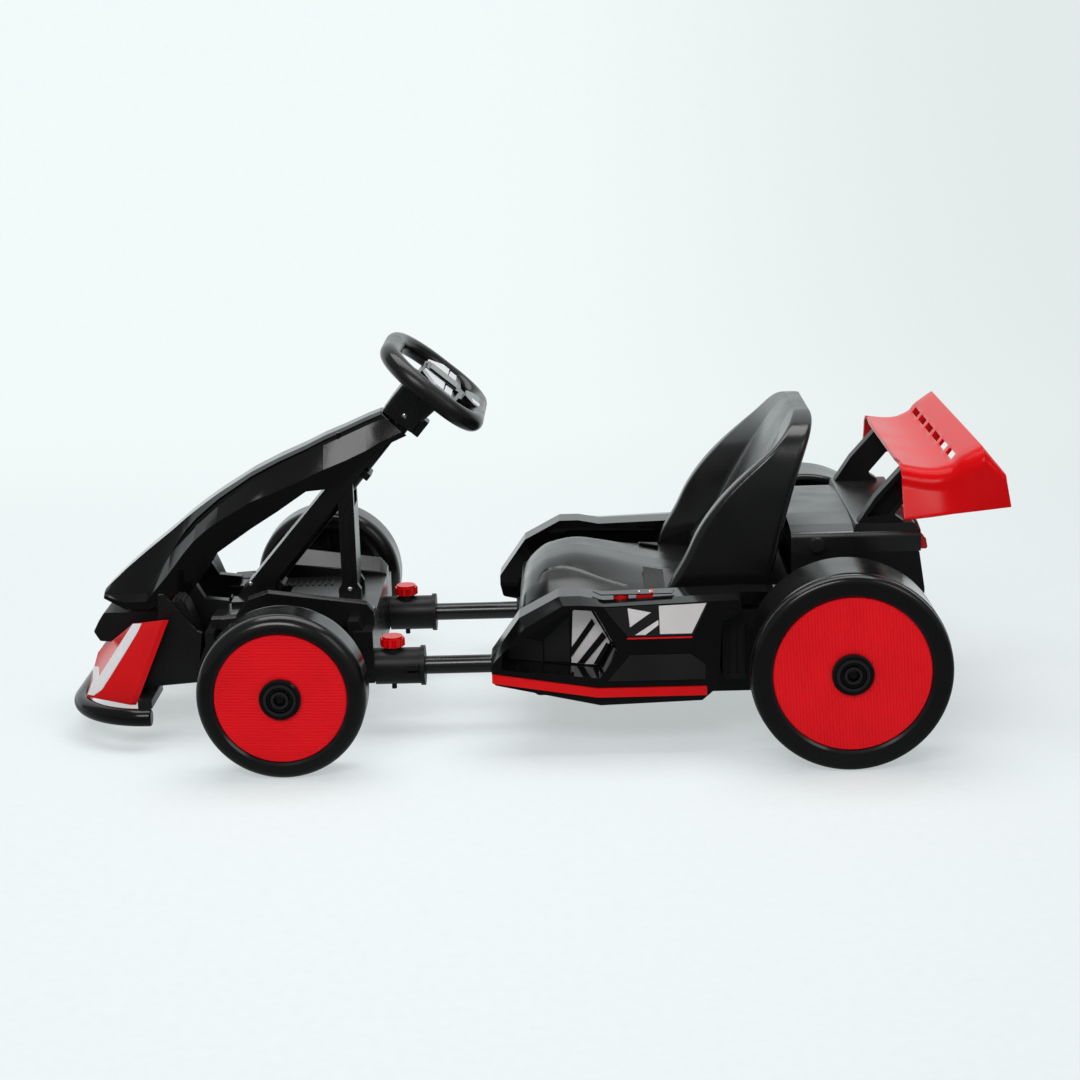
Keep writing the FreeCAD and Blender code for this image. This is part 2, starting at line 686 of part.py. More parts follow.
# Tail lamps
for hand, side in SIDES:
    lamp = Piece("tail_lamp_" + hand)
    low, high = span(side, body_half - 28.0, body_half - 4.0)
    lamp.pad("xz", low, high, [
        (aft(-536.3), roof(240.0), 1.0), (aft(-536.3), roof(256.0), 1.0),
        (aft(-543.0), roof(256.0), 3.0), (aft(-546.0), roof(240.0), 3.0),
    ])

# Seat: a one-piece bucket, drawn from the top of the tub upwards
seat_half = cell("seat_half")
SEAT_BACK = [
    # height, rear face, bolster tip, inner face as x, then outer and inner half widths
    (0.0, -322.0, -186.0, -240.0, 0.0, 118.0),
    (36.0, -327.0, -192.0, -245.0, 0.0, 118.0),
    (60.0, -334.0, -202.0, -250.0, 0.0, 112.0),
    (80.0, -340.0, -214.0, -264.0, 0.5, 104.0),
    (130.0, -352.0, -240.0, -292.0, 2.0, 96.0),
    (166.0, -362.0, -267.0, -311.0, 4.0, 90.0),
    (205.0, -374.0, -307.0, -332.0, 8.0, 84.0),
    (230.0, -383.0, -336.0, -346.0, 15.0, 78.0),
    (249.0, -390.0, -354.0, -357.5, 28.0, 66.0),
    (262.0, -394.5, -365.0, -366.5, 52.0, 50.0),
    (268.5, -395.0, -371.0, -371.8, 78.0, 36.0),
    (271.0, -392.0, -377.0, -377.5, 104.0, 22.0),
]
seat = Piece("seat")
levels = []
for height, rear, tip, inner, taper, hollow in SEAT_BACK:
    half = seat_half - taper
    depth = tip - inner
    soft = min(11.0, 0.42 * (tip - rear))
    lip = min(26.0, 9.0 + 0.4 * depth)
    lip = min(lip, (half.value - hollow) * 0.48)
    tip_r = min(lip * 0.45, 9.0)
    levels.append((height, [
        (rear, -half, soft), (tip, -half, tip_r), (tip, -half + lip, tip_r),
        (inner, -hollow, min(22.0, depth * 0.7 + 0.8)), (inner, size(hollow), min(22.0, depth * 0.7 + 0.8)),
        (tip, half - lip, tip_r), (tip, half, tip_r), (rear, half, soft),
    ]))
seat.loft("xy", levels, smooth=True)
SEAT_PAN = [
    # x, height of the crown, of its shoulder and of the side edge, half width
    (5.0, 14.0, 11.0, 6.0, 96.0),
    (1.0, 30.0, 24.0, 12.0, 112.0),
    (-12.0, 49.0, 38.0, 20.0, 126.0),
    (-34.0, 64.0, 48.0, 27.0, 136.0),
    (-71.0, 71.0, 51.0, 31.0, 142.0),
    (-110.0, 65.0, 48.0, 32.0, 146.0),
    (-150.0, 55.0, 44.0, 32.0, 150.0),
    (-226.0, 40.0, 36.0, 30.0, 152.0),
    (-262.0, 36.0, 33.0, 28.0, 152.0),
]
levels = []
for x, top, shoulder, edge, half in SEAT_PAN:
    right = [(half, 0.0, 1.0), (half, edge, min(8.0, edge * 0.35)),
             (0.72 * half, shoulder, 10.0), (0.3 * half, top, 14.0)]
    left = [(-y, z, bend) for y, z, bend in right]
    levels.append((x, left + right[::-1]))
seat.loft("yz", levels)
seat.place(tub_f - 9.0, 0.0, tub_top)

for hand, side in SIDES:
    belt = Piece("belt_" + hand)
    low, high = span(side, 84.0, 112.0)
    belt.pad("xz", low, high, [
        (mid(-176.0), tub_top + 44.9), (mid(-176.0), tub_top + 47.9),
        (mid(-214.0), tub_top + 42.6), (mid(-214.0), tub_top + 39.6),
    ])

# Wing: one shell from end plate to end plate, with a slotted groove ahead of the flap
wing_t = cell("wing_t")
wing_half = cell("wing_half")
wing_out = cell("wing_out")
WING = [
    # x, top z, low z, top and low half width beyond their sizes, corner radius
    (-503.0, 364.0, 298.0, 0.0, -8.0, 18.0),
    (-552.0, 357.0, 303.0, 13.0, -5.0, 24.0),
    (-605.0, 392.0, 309.0, 33.0, -1.0, 26.0),
    (-642.0, 416.0, 313.0, 41.0, 0.0, 26.0),
]
wing = Piece("wing")
levels = []
for x, top, low, wide, foot, bend in WING:
    a = wing_half + wide
    b = wing_out + foot
    t = wing_t.value
    levels.append((aft(x), [
        (b, roof(low), 0.5), (a, roof(top), bend), (-a, roof(top), bend), (-b, roof(low), 0.5),
        (-b + t, roof(low), 0.5), (-a + t, roof(top - t), bend - t),
        (a - t, roof(top - t), bend - t), (b - t, roof(low), 0.5),
    ]))
wing.loft("yz", levels)
wing.pocket("xz", -wing_out - 30.0, wing_out + 30.0, [
    (aft(-605.0), roof(393.0)), (aft(-634.0), roof(356.0)), (aft(-641.5), roof(312.0)),
    (aft(-670.0), roof(312.0)), (aft(-670.0), roof(450.0)), (aft(-605.0), roof(450.0)),
])
wing.pocket("xz", -wing_half + 12.0, wing_half - 12.0, [
    (aft(-552.5), roof(366.0)), (aft(-552.5), roof(355.0)), (aft(-558.0), roof(355.0)),
    (aft(-558.0), roof(370.0)),
])
wing.pocket("xy", roof(340.0), roof(380.0),
            *[box(aft(-558.0), aft(-552.5), size(y) - 15.0, size(y) + 15.0)
              for y in (-120.0, -60.0, 0.0, 60.0, 120.0)])
under = [(x, 364.0 - wing_t.value - (-503.0 - x) / 7.0) for x in (-514.0, -546.0)]
for hand, side in SIDES:
    stanchion = Piece("stanchion_" + hand)
    low, high = span(side, body_half - 27.0, body_half - 5.0)
    stanchion.pad("xz", low, high, [
        (aft(-452.0), foot_z + rest, 1.0), (aft(-475.0), roof(312.0), 3.0),
        (aft(under[0][0]), roof(under[0][1]) - rest, 1.0),
        (aft(under[1][0]), roof(under[1][1]) - rest, 1.0),
        (aft(-526.0), roof(318.0), 5.0), (aft(-500.0), roof(288.0), 4.0),
        (aft(-516.0), foot_z + rest, 1.0),
    ])
    low, high = span(side, body_half - 27.0 + 5.0, body_half)
    stanchion.pocket("xz", low, high, [
        (aft(-462.0), roof(284.0), 2.0), (aft(-482.0), roof(311.0), 2.0),
        (aft(-516.0), roof(348.0), 2.0), (aft(-537.0), roof(345.0), 2.0),
        (aft(-518.0), roof(319.0), 4.0), (aft(-493.0), roof(288.0), 2.0),
    ])

# Switches on the left pod's top rail
button = Piece("power_button")
button.pad("xy", switch_low, switch_low + 5.0, ("circle", button_x, switch_y, 10.0))
button.pad("xy", switch_low + 4.0, switch_low + 7.0, ("circle", button_x, switch_y, 7.5))
rocker = Piece("power_rocker")
rocker.pad("xz", switch_y - 7.0, switch_y + 7.0, [
    (rocker_x - 11.0, switch_low), (rocker_x + 11.0, switch_low),
    (rocker_x + 11.0, switch_low + 7.5), (rocker_x, switch_low + 5.5),
    (rocker_x - 11.0, switch_low + 9.0),
])

# Front chassis: foot deck between two ridges, twin rails, kingpin yokes, bumper arms
deck_z = cell("deck_z")
deck_low = deck_z - cell("deck_t")
deck_half = cell("deck_half")
ridge_w = cell("ridge_w")
rail_out = cell("rail_out")
rail_in = cell("rail_in")
rail_z = cell("rail_z")
king_y = cell("kingpin_y")
barrel_half = cell("barrel_half")
bar_z = cell("bar_z")
bar_r = cell("bar_r")
socket_rear = front_x - cell("socket_back")
socket_front = socket_rear + cell("socket_len")
column_r = cell("column_r")
wheel_x = front_x - cell("wheel_back")
wheel_z = cell("wheel_c_z")
tilt = cell("column_tilt")


def on_column(depth, ahead):
    """A point below the steering wheel, along and ahead of the column axis."""
    depth, ahead = size(depth), size(ahead)
    return (wheel_x + depth * sine(tilt) + ahead * cosine(tilt),
            wheel_z - depth * cosine(tilt) + ahead * sine(tilt))


crank_e = cell("crank_e")
column_len = cell("column_len")
crank_x, crank_z = on_column(column_len, crank_e)
rod_x = front_x + cell("arm_len")
rod_z = front_z + cell("rod_drop")
rod_r = cell("rod_r")
chassis = Piece("front_chassis")
chassis.pad("xy", deck_low, deck_z, [
    (socket_front, -deck_half), (fore(430.0), -deck_half), (fore(430.0), deck_half),
    (socket_front, deck_half),
])
RIDGE = [
    # x behind or ahead, height of the crest and of the inner edge
    (206.0, 168.0, 163.0), (216.0, 180.0, 166.0), (350.0, 199.0, 180.0), (378.0, 190.0, 178.0),
    (396.0, 165.0, 162.0), (430.0, 163.0, 161.0),
]
for side in (1.0, -1.0):
    levels = []
    for x, top, inside in RIDGE:
        outline = [
            (deck_half - ridge_w, deck_z - 4.0, 0.5),
            (deck_half - ridge_w, deck(inside), 3.0),
            (deck_half - 7.0, deck(top), 2.0),
            (deck_half, deck(top - 3.0), 2.0),
            (deck_half, deck_z - 4.0, 0.5),
        ]
        if side < 0:
            outline = [(-y, z, r) for y, z, r in reversed(outline)]
        levels.append((socket_front + 0.5 if x == 206.0 else fore(x), outline))
    chassis.loft("yz", levels)
    low, high = span(side, rail_in, rail_out)
    chassis.pad("xz", low, high, [
        (socket_front, rail_z), (socket_front, deck_low + 1.0), (fore(460.0), deck_low - 8.0),
        (fore(460.0), rail_z + 19.0), (fore(420.0), rail_z),
    ])
    # yoke plates above and below the knuckle barrel
    low, high = span(side, rail_out - 1.0, king_y + 14.0)
    for z_low, z_high in ((front_z + barrel_half + end_gap, deck_low),
                          (front_z - barrel_half - end_gap - 10.0,
                           front_z - barrel_half - end_gap)):
        chassis.pad("xy", z_low, z_high, box(front_x - 15.0, front_x + 15.0, low, high))
    # stiffening webs on the lower yoke plate
    low, high = span(side, rail_out - 1.0, king_y - 22.0)
    z_low = front_z - barrel_half - end_gap - 10.0
    chassis.pad("xz", low, high, box(front_x - 3.0, front_x + 3.0, z_low + 9.0, z_low + 22.0))
    # wedge from the rear of the deck down to the tube socket
    low, high = span(side, tube_y - 20.0, tube_y + 20.0)
    chassis.pad("xz", low, high, [
        (socket_front, tube_z + 20.0), (socket_front, tube_z + 34.0), (fore(226.0), deck_z),
        (fore(240.0), deck_z), (fore(240.0), tube_z + 20.0),
    ])
    # front arm that carries the bumper
    low, high = span(side, 112.0, 152.0)
    arm = [
        (fore(424.0), deck_low - 12.0), (fore(424.0), bar_z + 36.0), (fore(509.0), bar_z + 30.0),
        (fore(521.0), bar_z + 10.0), (fore(545.0), bar_z + 10.0), (fore(532.0), bar_z + 56.0),
        (fore(505.0), deck(134.0)), (fore(446.0), deck(106.0)), (fore(434.0), deck_low - 12.0),
    ]
    chassis.pad("xz", low, high, arm)
    # foot of the arm, on top of the bumper bar
    low, high = span(side, 112.0, cell("bar_half"))
    chassis.pad("xz", low, high,
                box(fore(506.0), fore(525.0), bar_z + bar_r + rest, bar_z + bar_r + 12.0))
    # gusset beside the foot plate
    low, high = span(side, 146.0, 152.0)
    chassis.pad("xz", low, high, [
        (fore(446.0), deck(105.0)), (fore(440.0), deck(148.0)), (fore(447.0), deck(151.0)),
        (fore(489.0), deck(203.0)), (fore(496.0), deck(203.0)), (fore(497.0), deck(178.0)),
        (fore(514.0), deck(120.0)), (fore(505.0), deck(120.0)),
    ])
    low, high = span(side, rail_out - 1.0, 152.0)
    chassis.pad("xz", low, high, box(fore(424.0), fore(436.0), bar_z + 36.0, deck_low + 2.0))
    # nose bracket under the cowl
    low, high = span(side, cell("bracket_y"), cell("bracket_y") + 14.0)
    chassis.pad("xz", low, high, [
        (fore(426.0), deck(102.0)), (fore(426.0), deck_z - 10.0), (fore(414.0), deck_z - 10.0),
        (fore(414.0), deck(172.0)), (fore(446.0), deck(176.0)), (fore(457.0), head(195.8) - rest), (fore(473.0), head(179.0) - rest),
        (fore(495.0), head(172.0) - rest), (fore(507.0), head(168.0) - rest),
        (fore(507.0), deck(112.0)), (fore(500.0), deck(102.0)),
    ])
    low, high = span(side, cell("bracket_y"), 114.0)
    chassis.pad("xz", low, high, box(fore(440.0), fore(500.0), deck(96.0), deck(104.0)))
chassis.pad("xz", -tube_y - 27.0, tube_y + 27.0,
            box(socket_front, fore(232.0), tube_z - 16.0, deck_low + 1.0))
# raised treads across the deck on both sides of the column
for side in (1.0, -1.0):
    low, high = span(side, 42.0, deck_half - ridge_w - 8.0)
    chassis.pad("xz", low, high, *[
        box(fore(x), fore(x) + 3.0, deck_z - 1.0, deck_z + 1.6) for x in range(280, 345, 9)])
# clearances: frame tubes, column and crank, tie rod
chassis.pocket("yz", socket_front - 5.0, fore(302.0),
               ("circle", tube_y, tube_z, tube_r + 2.5),
               ("circle", -tube_y, tube_z, tube_r + 2.5))
chassis.pocket("xy", deck_low - 30.0, deck_z + 5.0,
               box(crank_x - 84.0, crank_x + 24.0, -rail_in, rail_in))
chassis.pocket("xz", -rail_out - 5.0, rail_out + 5.0,
               box(rod_x - 18.0, rod_x + 14.0, rod_z - 14.0, rod_z + 14.0))
for side in (1.0, -1.0):
    chassis.pocket("xy", rail_z, deck_z + 10.0, ("circle", front_x, king_y * side,
                                                cell("kingpin_r") + 0.05))

# Tube sockets with clamp knobs
socket_r = cell("socket_r")
knob_x = front_x - cell("knob_back")
knob_r = cell("knob_r")
knob_low = tube_z + socket_r + 4.0
for hand, side in SIDES:
    socket = Piece("socket_" + hand)
    y = tube_y * side
    socket.pad("yz", socket_rear, socket_front,
               ("circle", y, tube_z, socket_r),
               ("circle", y, tube_z, tube_r + cell("run_gap")))
    socket.pad("yz", socket_rear, socket_rear + 6.0,
               ("circle", y, tube_z, socket_r + 2.5), ("circle", y, tube_z, socket_r - 2.0))
    socket.pad("xy", tube_z + socket_r - 4.0, tube_z + socket_r + 4.0,
               ("circle", knob_x, y, knob_r - 5.0))
    socket.pad("xy", tube_z - socket_r - 7.0, tube_z - socket_r + 2.0,
               ("circle", knob_x, y, 3.5))
    # clamp lug with its slit beside the mouth
    low, high = span(side, socket_r - 3.0, socket_r + 7.0)
    lug = [(socket_rear + 8.0, low + y), (socket_rear + 24.0, low + y),
           (socket_rear + 24.0, high + y), (socket_rear + 8.0, high + y)]
    socket.pad("xy", tube_z - 9.0, tube_z - 2.0, lug)
    socket.pad("xy", tube_z + 2.0, tube_z + 9.0, lug)
    knob = Piece("clamp_knob_" + hand)
    knob.pad("xy", knob_low, knob_low + cell("knob_h") - 3.0,
             moved(around(knob_r, knob_r - 1.8, 14), knob_x, y))
    knob.pad("xy", knob_low + cell("knob_h") - 4.0, knob_low + cell("knob_h"),
             ("circle", knob_x, y, knob_r - 3.0))

# Kingpins and knuckles
for hand, side in SIDES:
    pin = Piece("kingpin_" + hand)
    pin_low = front_z - barrel_half - end_gap - 12.0
    pin.pad("xy", pin_low, deck_low + 1.0, ("circle", front_x, king_y * side, cell("kingpin_r")))
    pin.pad("xy", pin_low - 4.0, pin_low + 2.0,
            ("circle", front_x, king_y * side, cell("kingpin_r") + 4.0))
    pin.pad("xy", deck_low, deck_low + 5.0,
            ("circle", front_x, king_y * side, cell("kingpin_r") + 4.0))

    knuckle = Piece("knuckle_" + hand)
    knuckle.pad("xy", front_z - barrel_half, front_z + barrel_half,
                ("circle", front_x, king_y * side, cell("barrel_r")))
    low, high = span(side, king_y + 8.0, cell("front_face_y") - seat_in - end_gap)
    knuckle.pad("xz", low, high, ("circle", front_x, front_z, axle_r))
    low, high = span(side, king_y + 8.0,
                     cell("front_face_y") - cell("front_tyre_w") + 4.0 - end_gap)
    knuckle.pad("xz", low, high, ("circle", front_x, front_z, axle_r + 6.0))
    arm_low = rod_z - rod_r - end_gap - cell("arm_t")
    knuckle.pad("xy", arm_low, arm_low + cell("arm_t"), [
        (front_x, king_y * side - 9.0), (rod_x, king_y * side - 9.0),
        (rod_x + 9.0, king_y * side), (rod_x, king_y * side + 9.0),
        (front_x, king_y * side + 9.0),
    ])
    knuckle.pad("xy", arm_low + 2.0, rod_z + rod_r + 3.0,
                ("circle", rod_x, king_y * side, cell("rod_pin_r")))
    knuckle.pocket("xy", front_z - barrel_half - 5.0, front_z + barrel_half + 5.0,
                   ("circle", front_x, king_y * side, cell("kingpin_r") + cell("run_gap")))

# Tie rod with the fork that the crank pin drives
rod = Piece("tie_rod")
rod.pad("xz", -king_y, king_y, ("circle", rod_x, rod_z, rod_r))
fork_in = cell("crank_pin_r") + cell("fork_gap")
for side in (1.0, -1.0):
    low, high = span(side, fork_in, fork_in + 6.0)
    rod.pad("xz", low, high, [
        (rod_x - 6.0, rod_z - 6.0), (crank_x + 9.0, crank_z - 37.7),
        (crank_x + 23.0, crank_z - 23.7), (crank_x + 23.0, crank_z - 9.7),
        (crank_x + 17.0, crank_z - 0.7), (crank_x + 11.0, crank_z - 0.7),
        (crank_x - 25.0, crank_z - 31.7), (rod_x + 4.0, rod_z + 5.0), (rod_x - 4.0, rod_z + 5.0),
    ])
    rod.pad("xy", rod_z - rod_r + 1.0, rod_z + rod_r - 1.0,
            ("circle", rod_x, king_y * side, rod_r + 3.0))
for side in (1.0, -1.0):
    rod.pocket("xy", rod_z - 20.0, rod_z + 20.0,
               ("circle", rod_x, king_y * side, cell("rod_pin_r") + cell("run_gap")))

# Steering column, drawn along its own axis and then tilted
column = Piece("steering_column")
column.pad("xy", -column_len, -24.0, ("circle", 0.0, 0.0, column_r))
column.pad("xy", -column_len, -column_len + 8.0,
           box(-column_r, crank_e + 6.0, -7.0, 7.0))
column.pad("xy", -column_len - 20.0, -column_len + 4.0,
           ("circle", crank_e, 0.0, cell("crank_pin_r")))
column.place(wheel_x, 0.0, wheel_z, tilt)

# Hub: a tapered housing under the wheel, with a latch block behind it
hub_depth = cell("hub_depth")
rim_rise = cell("rim_rise")
hub = Piece("steering_hub")
hub.loft("xy", [
    (-hub_depth, [(-20.0, -25.0, 5.0), (31.0, -25.0, 5.0), (31.0, 25.0, 5.0), (-20.0, 25.0, 5.0)]),
    (-hub_depth + 22.0, [(-22.0, -27.0, 6.0), (32.0, -27.0, 6.0), (32.0, 27.0, 6.0),
                         (-22.0, 27.0, 6.0)]),
    (rim_rise - 9.0 - rest, [(-29.0, -36.0, 8.0), (32.0, -36.0, 8.0), (32.0, 36.0, 8.0),
                             (-29.0, 36.0, 8.0)]),
])
hub.pad("xy", -hub_depth - 12.0, -hub_depth + 4.0, ("circle", 0.0, 0.0, column_r + 7.0))
hub.pad("xy", -hub_depth - 2.0, -hub_depth + 24.0, [
    (-31.0, -13.0, 3.0), (-19.0, -13.0, 3.0), (-19.0, 13.0, 3.0), (-31.0, 13.0, 3.0)])
hub.pocket("xy", -hub_depth - 20.0, -24.0, ("circle", 0.0, 0.0, column_r + 0.05))
hub.place(wheel_x, 0.0, wheel_z, tilt)

# Steering wheel: a flat-bottomed rim on three spokes
rim_w = cell("rim_half_w")
rim_h = cell("rim_half_h")
rim_r = cell("rim_r")
steer = Piece("steering_wheel")
path = steer.sketch("xy", rim_rise)
steer.rounded(path, [
    (rim_h, rim_w, 70.0), (-rim_h, rim_w, 48.0), (-rim_h, -rim_w, 48.0), (rim_h, -rim_w, 70.0),
])
section = steer.sketch("xz", 0.0)
steer.circle(section, rim_h, rim_rise, rim_r)
sweep = steer.body.newObject("PartDesign::AdditivePipe", "steering_wheel_rim")
sweep.Profile = section
sweep.Spine = path
steer.pad("xy", rim_rise - 9.0, rim_rise + 7.0, [
    (-34.0, -rim_w + 6.0, 2.0), (-12.0, -rim_w + 6.0, 2.0), (24.0, -40.0, 10.0),
    (24.0, 40.0, 10.0), (-12.0, rim_w - 6.0, 2.0), (-34.0, rim_w - 6.0, 2.0),
    (-40.0, 34.0, 8.0), (-rim_h + 6.0, 22.0, 2.0), (-rim_h + 6.0, -22.0, 2.0),
    (-40.0, -34.0, 8.0),
])
# raised cover in the middle, with a panel on each side of it
steer.pad("xy", rim_rise + 6.0, rim_rise + 12.0, [
    (-36.0, -30.0, 8.0), (20.0, -30.0, 8.0), (20.0, 30.0, 8.0), (-36.0, 30.0, 8.0)])
for side in (1.0, -1.0):
    low, high = span(side, 36.0, 84.0)
    near, far = (low, high) if side > 0 else (high, low)
    steer.pad("xy", rim_rise + 6.0, rim_rise + 9.0, [
        (-30.0, near, 1.0), (8.0, near, 2.0), (-14.0, far, 2.0), (-30.0, far, 1.0)])
steer.pad("xy", rim_rise - 10.0, rim_rise + 10.0, [
    (-rim_h - 8.0, -44.0, 6.0), (-rim_h + 10.0, -44.0, 6.0), (-rim_h + 10.0, 44.0, 6.0),
    (-rim_h - 8.0, 44.0, 6.0)])
steer.place(wheel_x, 0.0, wheel_z, tilt)

# Nose cowl: a hooded shell from the bumper to the steering wheel, open underneath
COWL = [
    # x, then half width and height of: hood top, hood edge, side crease, lower edge
    (158.0, 14.0, 433.0, 26.0, 430.0, 36.0, 400.0, 36.5, 392.0),
    (195.0, 15.0, 423.5, 27.0, 420.5, 38.0, 384.0, 38.5, 376.0),
    (215.0, 16.0, 416.0, 27.0, 412.5, 41.0, 373.0, 41.5, 364.0),
    (245.0, 17.0, 403.0, 28.0, 399.5, 44.0, 360.0, 44.5, 341.5),
    (275.0, 18.0, 391.0, 29.0, 387.0, 48.0, 349.0, 48.5, 321.0),
    (300.0, 19.0, 379.0, 30.0, 375.0, 51.0, 338.0, 51.5, 319.5),
    (340.0, 20.0, 362.0, 31.5, 358.0, 56.0, 322.0, 56.5, 293.5),
    (378.0, 21.0, 343.5, 33.0, 339.0, 62.0, 308.0, 62.5, 271.0),
    (425.0, 23.0, 315.0, 37.0, 309.0, 69.0, 282.0, 69.5, 240.0),
    (440.0, 24.0, 305.0, 39.0, 297.0, 71.0, 272.0, 71.5, 217.0),
    (457.0, 25.0, 293.0, 42.0, 283.0, 74.0, 258.0, 74.5, 195.8),
    (473.0, 26.0, 281.0, 45.0, 266.0, 75.0, 240.0, 76.0, 179.0),
    (495.0, 27.0, 263.0, 50.0, 235.0, 75.0, 212.0, 76.0, 172.0),
    (530.0, 26.0, 236.0, 54.0, 182.0, 68.0, 172.0, 69.0, 161.0),
    (562.0, 25.0, 210.0, 47.0, 178.0, 56.0, 168.0, 57.0, 158.0),
    (594.0, 24.0, 181.0, 36.0, 178.0, 42.0, 175.0, 42.5, 171.0),
]
shell = cell("shell")
cowl = Piece("nose_cowl")
outer = []
inner = []
for x, a, top, b, edge, c, crease, d, low in COWL:
    half = [(a, top), (b, edge), (b - 1.5, edge - 3.0), (b + 1.5, edge - 7.0), (c, crease), (d, low)]
    if x > 480.0:
        half[2] = (b + 0.5, edge - 1.0)
        half[3] = (b + 1.5, edge - 2.0)
    points = [(size(y), head(z)) for y, z in half]
    mirror = [(size(-y), head(z)) for y, z in reversed(half)]
    outer.append((fore(x), points + mirror))
    if x < 540.0:
        t = shell.value
        half = [(a - 1.0, top - t), (b - t - 2.5, edge - t - 3.0), (c - t - 1.0, crease - 1.0),
                (d - t - 1.0, low - 12.0)]
        points = [(size(y), head(z)) for y, z in half]
        mirror = [(size(-y), head(z)) for y, z in reversed(half)]
        inner.append((fore(x), points + mirror))
cowl.loft("yz", outer)
cowl.loft("yz", inner, cut=True)
# rear end, square to the column and clear of the turning hub
end_low = on_column(hub_depth + 5.0, -30.0)
end_high = on_column(hub_depth + 5.0, 60.0)
cowl.pocket("xz", -60.0, 60.0, [
    end_low, end_high, (end_high[0] - 80.0, end_high[1]), (end_low[0] - 80.0, end_low[1])])
# ribs inside the hood that rest on the column brace
brace_in = cell("brace_in")
brace_out = brace_in + cell("brace_t")
brace_top = head(368.0)
cowl.pad("xz", -brace_out, brace_out, box(fore(252.0), fore(256.0), brace_top, head(397.0)))

# Column brace: a channel that rises from the deck to the hood, open towards the column
brace = Piece("column_brace")
front_edge = cell("brace_deep")
BRACE = [
    (fore(412.0), deck_z + 0.0), on_column(368.0, front_edge + 2.0), on_column(204.0, front_edge),
    (fore(262.0), brace_top - rest), (fore(246.0), brace_top - rest), (fore(215.0), head(378.0)),
    on_column(92.0, 6.0), on_column(92.0, 1.0), on_column(350.0, 1.0), (fore(356.0), deck_z + 0.0),
]
for side in (1.0, -1.0):
    low, high = span(side, brace_in, brace_out)
    brace.pad("xz", low, high, BRACE)
    low, high = span(side, brace_out - 1.0, rail_out)
    brace.pad("xz", low, high, box(fore(356.0), fore(412.0), deck_z, deck_z + 6.0))
brace.pad("xz", -brace_in - 1.0, brace_in + 1.0, [
    (fore(412.0), deck_z + 0.0), on_column(368.0, front_edge + 2.0), on_column(204.0, front_edge),
    (fore(262.0), brace_top - rest), (fore(257.0), brace_top - rest),
    on_column(198.0, front_edge - 6.0), on_column(368.0, front_edge - 5.0),
    (fore(403.0), deck_z + 0.0),
])

# Column bearings: clips between the brace cheeks
for name, depth in (("upper", 150.0), ("lower", 352.0)):
    bearing = Piece("column_bearing_" + name)
    bearing.pad("xy", -(size(depth) + 10.0), -depth, [
        (-13.0, -brace_in, 3.0), (14.0, -brace_in, 1.0), (14.0, brace_in, 1.0),
        (-13.0, brace_in, 3.0)])
    bearing.pocket("xy", -(size(depth) + 15.0), 5.0 - depth,
                   ("circle", 0.0, 0.0, column_r + cell("run_gap")))
    bearing.place(wheel_x, 0.0, wheel_z, tilt)

# Column post: two legs from the deck to the rear edge of the brace
post = Piece("column_post")
slope = cosine(tilt) / sine(tilt)


def under_brace(x):
    """Height of the brace's rear edge above a place along the kart, less the rest gap."""
    step = size(1.0) / sine(tilt)
    return wheel_z - (x - wheel_x) * slope + step - 1.0 - rest


post_rear = fore(237.0)
post_front = fore(259.0)
for side in (1.0, -1.0):
    low, high = span(side, brace_in, brace_out)
    post.pad("xz", low, high, [
        (post_rear - 5.0, deck_z + 0.0), (post_rear - 5.0, deck_z + 12.0), (post_rear, deck_z + 20.0),
        (post_rear, under_brace(post_rear)), (post_front, under_brace(post_front)),
        (post_front, deck_z + 20.0), (post_front + 5.0, deck_z + 12.0), (post_front + 5.0, deck_z + 0.0),
    ])
    low, high = span(side, brace_out - 1.0, brace_out + 2.0)
    post.pad("xz", low, high, box(post_rear + 8.0, post_rear + 14.0, deck_z + 22.0, deck_z + 120.0))
post.pad("xz", -brace_in - 1.0, brace_in + 1.0,
         box(post_rear, post_rear + 6.0, deck_z + 12.0, under_brace(post_rear + 6.0) - 26.0))

# Chin under the nose, between the nose brackets
chin = Piece("nose_chin")
bracket_y = cell("bracket_y")
chin.pad("xz", -bracket_y, bracket_y, [
    (fore(608.0), head(128.0), 4.0), (fore(600.0), head(143.0), 5.0),
    (fore(592.0), head(155.0), 4.0), (fore(530.0), head(155.0), 5.0),
    (fore(499.0), head(150.0), 2.0), (fore(499.0), head(137.0), 2.0),
    (fore(575.0), head(112.0), 6.0), (fore(600.0), head(114.0), 4.0),
])

# Bumper: a bent bar and a folded fascia above it
bar = Piece("bumper_bar")
bar_half = cell("bar_half")
bar_front = front_x + cell("bar_ahead")
bar_end = bar_front - cell("bar_arm")
bend = cell("bar_bend").value
path = bar.sketch("xy", bar_z)
turn = bend * math.cos(math.pi / 4.0)
x_bend = bar_front.value - bend
y_bend = bar_half.value - bend
path.addGeometry([
    Part.LineSegment(FreeCAD.Vector(bar_end.value, bar_half.value, 0),
                     FreeCAD.Vector(x_bend, bar_half.value, 0)),
    Part.Arc(FreeCAD.Vector(x_bend, bar_half.value, 0),
             FreeCAD.Vector(x_bend + turn, y_bend + turn, 0),
             FreeCAD.Vector(bar_front.value, y_bend, 0)),
    Part.LineSegment(FreeCAD.Vector(bar_front.value, y_bend, 0),
                     FreeCAD.Vector(bar_front.value, -y_bend, 0)),
    Part.Arc(FreeCAD.Vector(bar_front.value, -y_bend, 0),
             FreeCAD.Vector(x_bend + turn, -y_bend - turn, 0),
             FreeCAD.Vector(x_bend, -bar_half.value, 0)),
    Part.LineSegment(FreeCAD.Vector(x_bend, -bar_half.value, 0),
                     FreeCAD.Vector(bar_end.value, -bar_half.value, 0)),
], False)
section = bar.sketch("yz", bar_end)
bar.circle(section, bar_half, bar_z, bar_r)
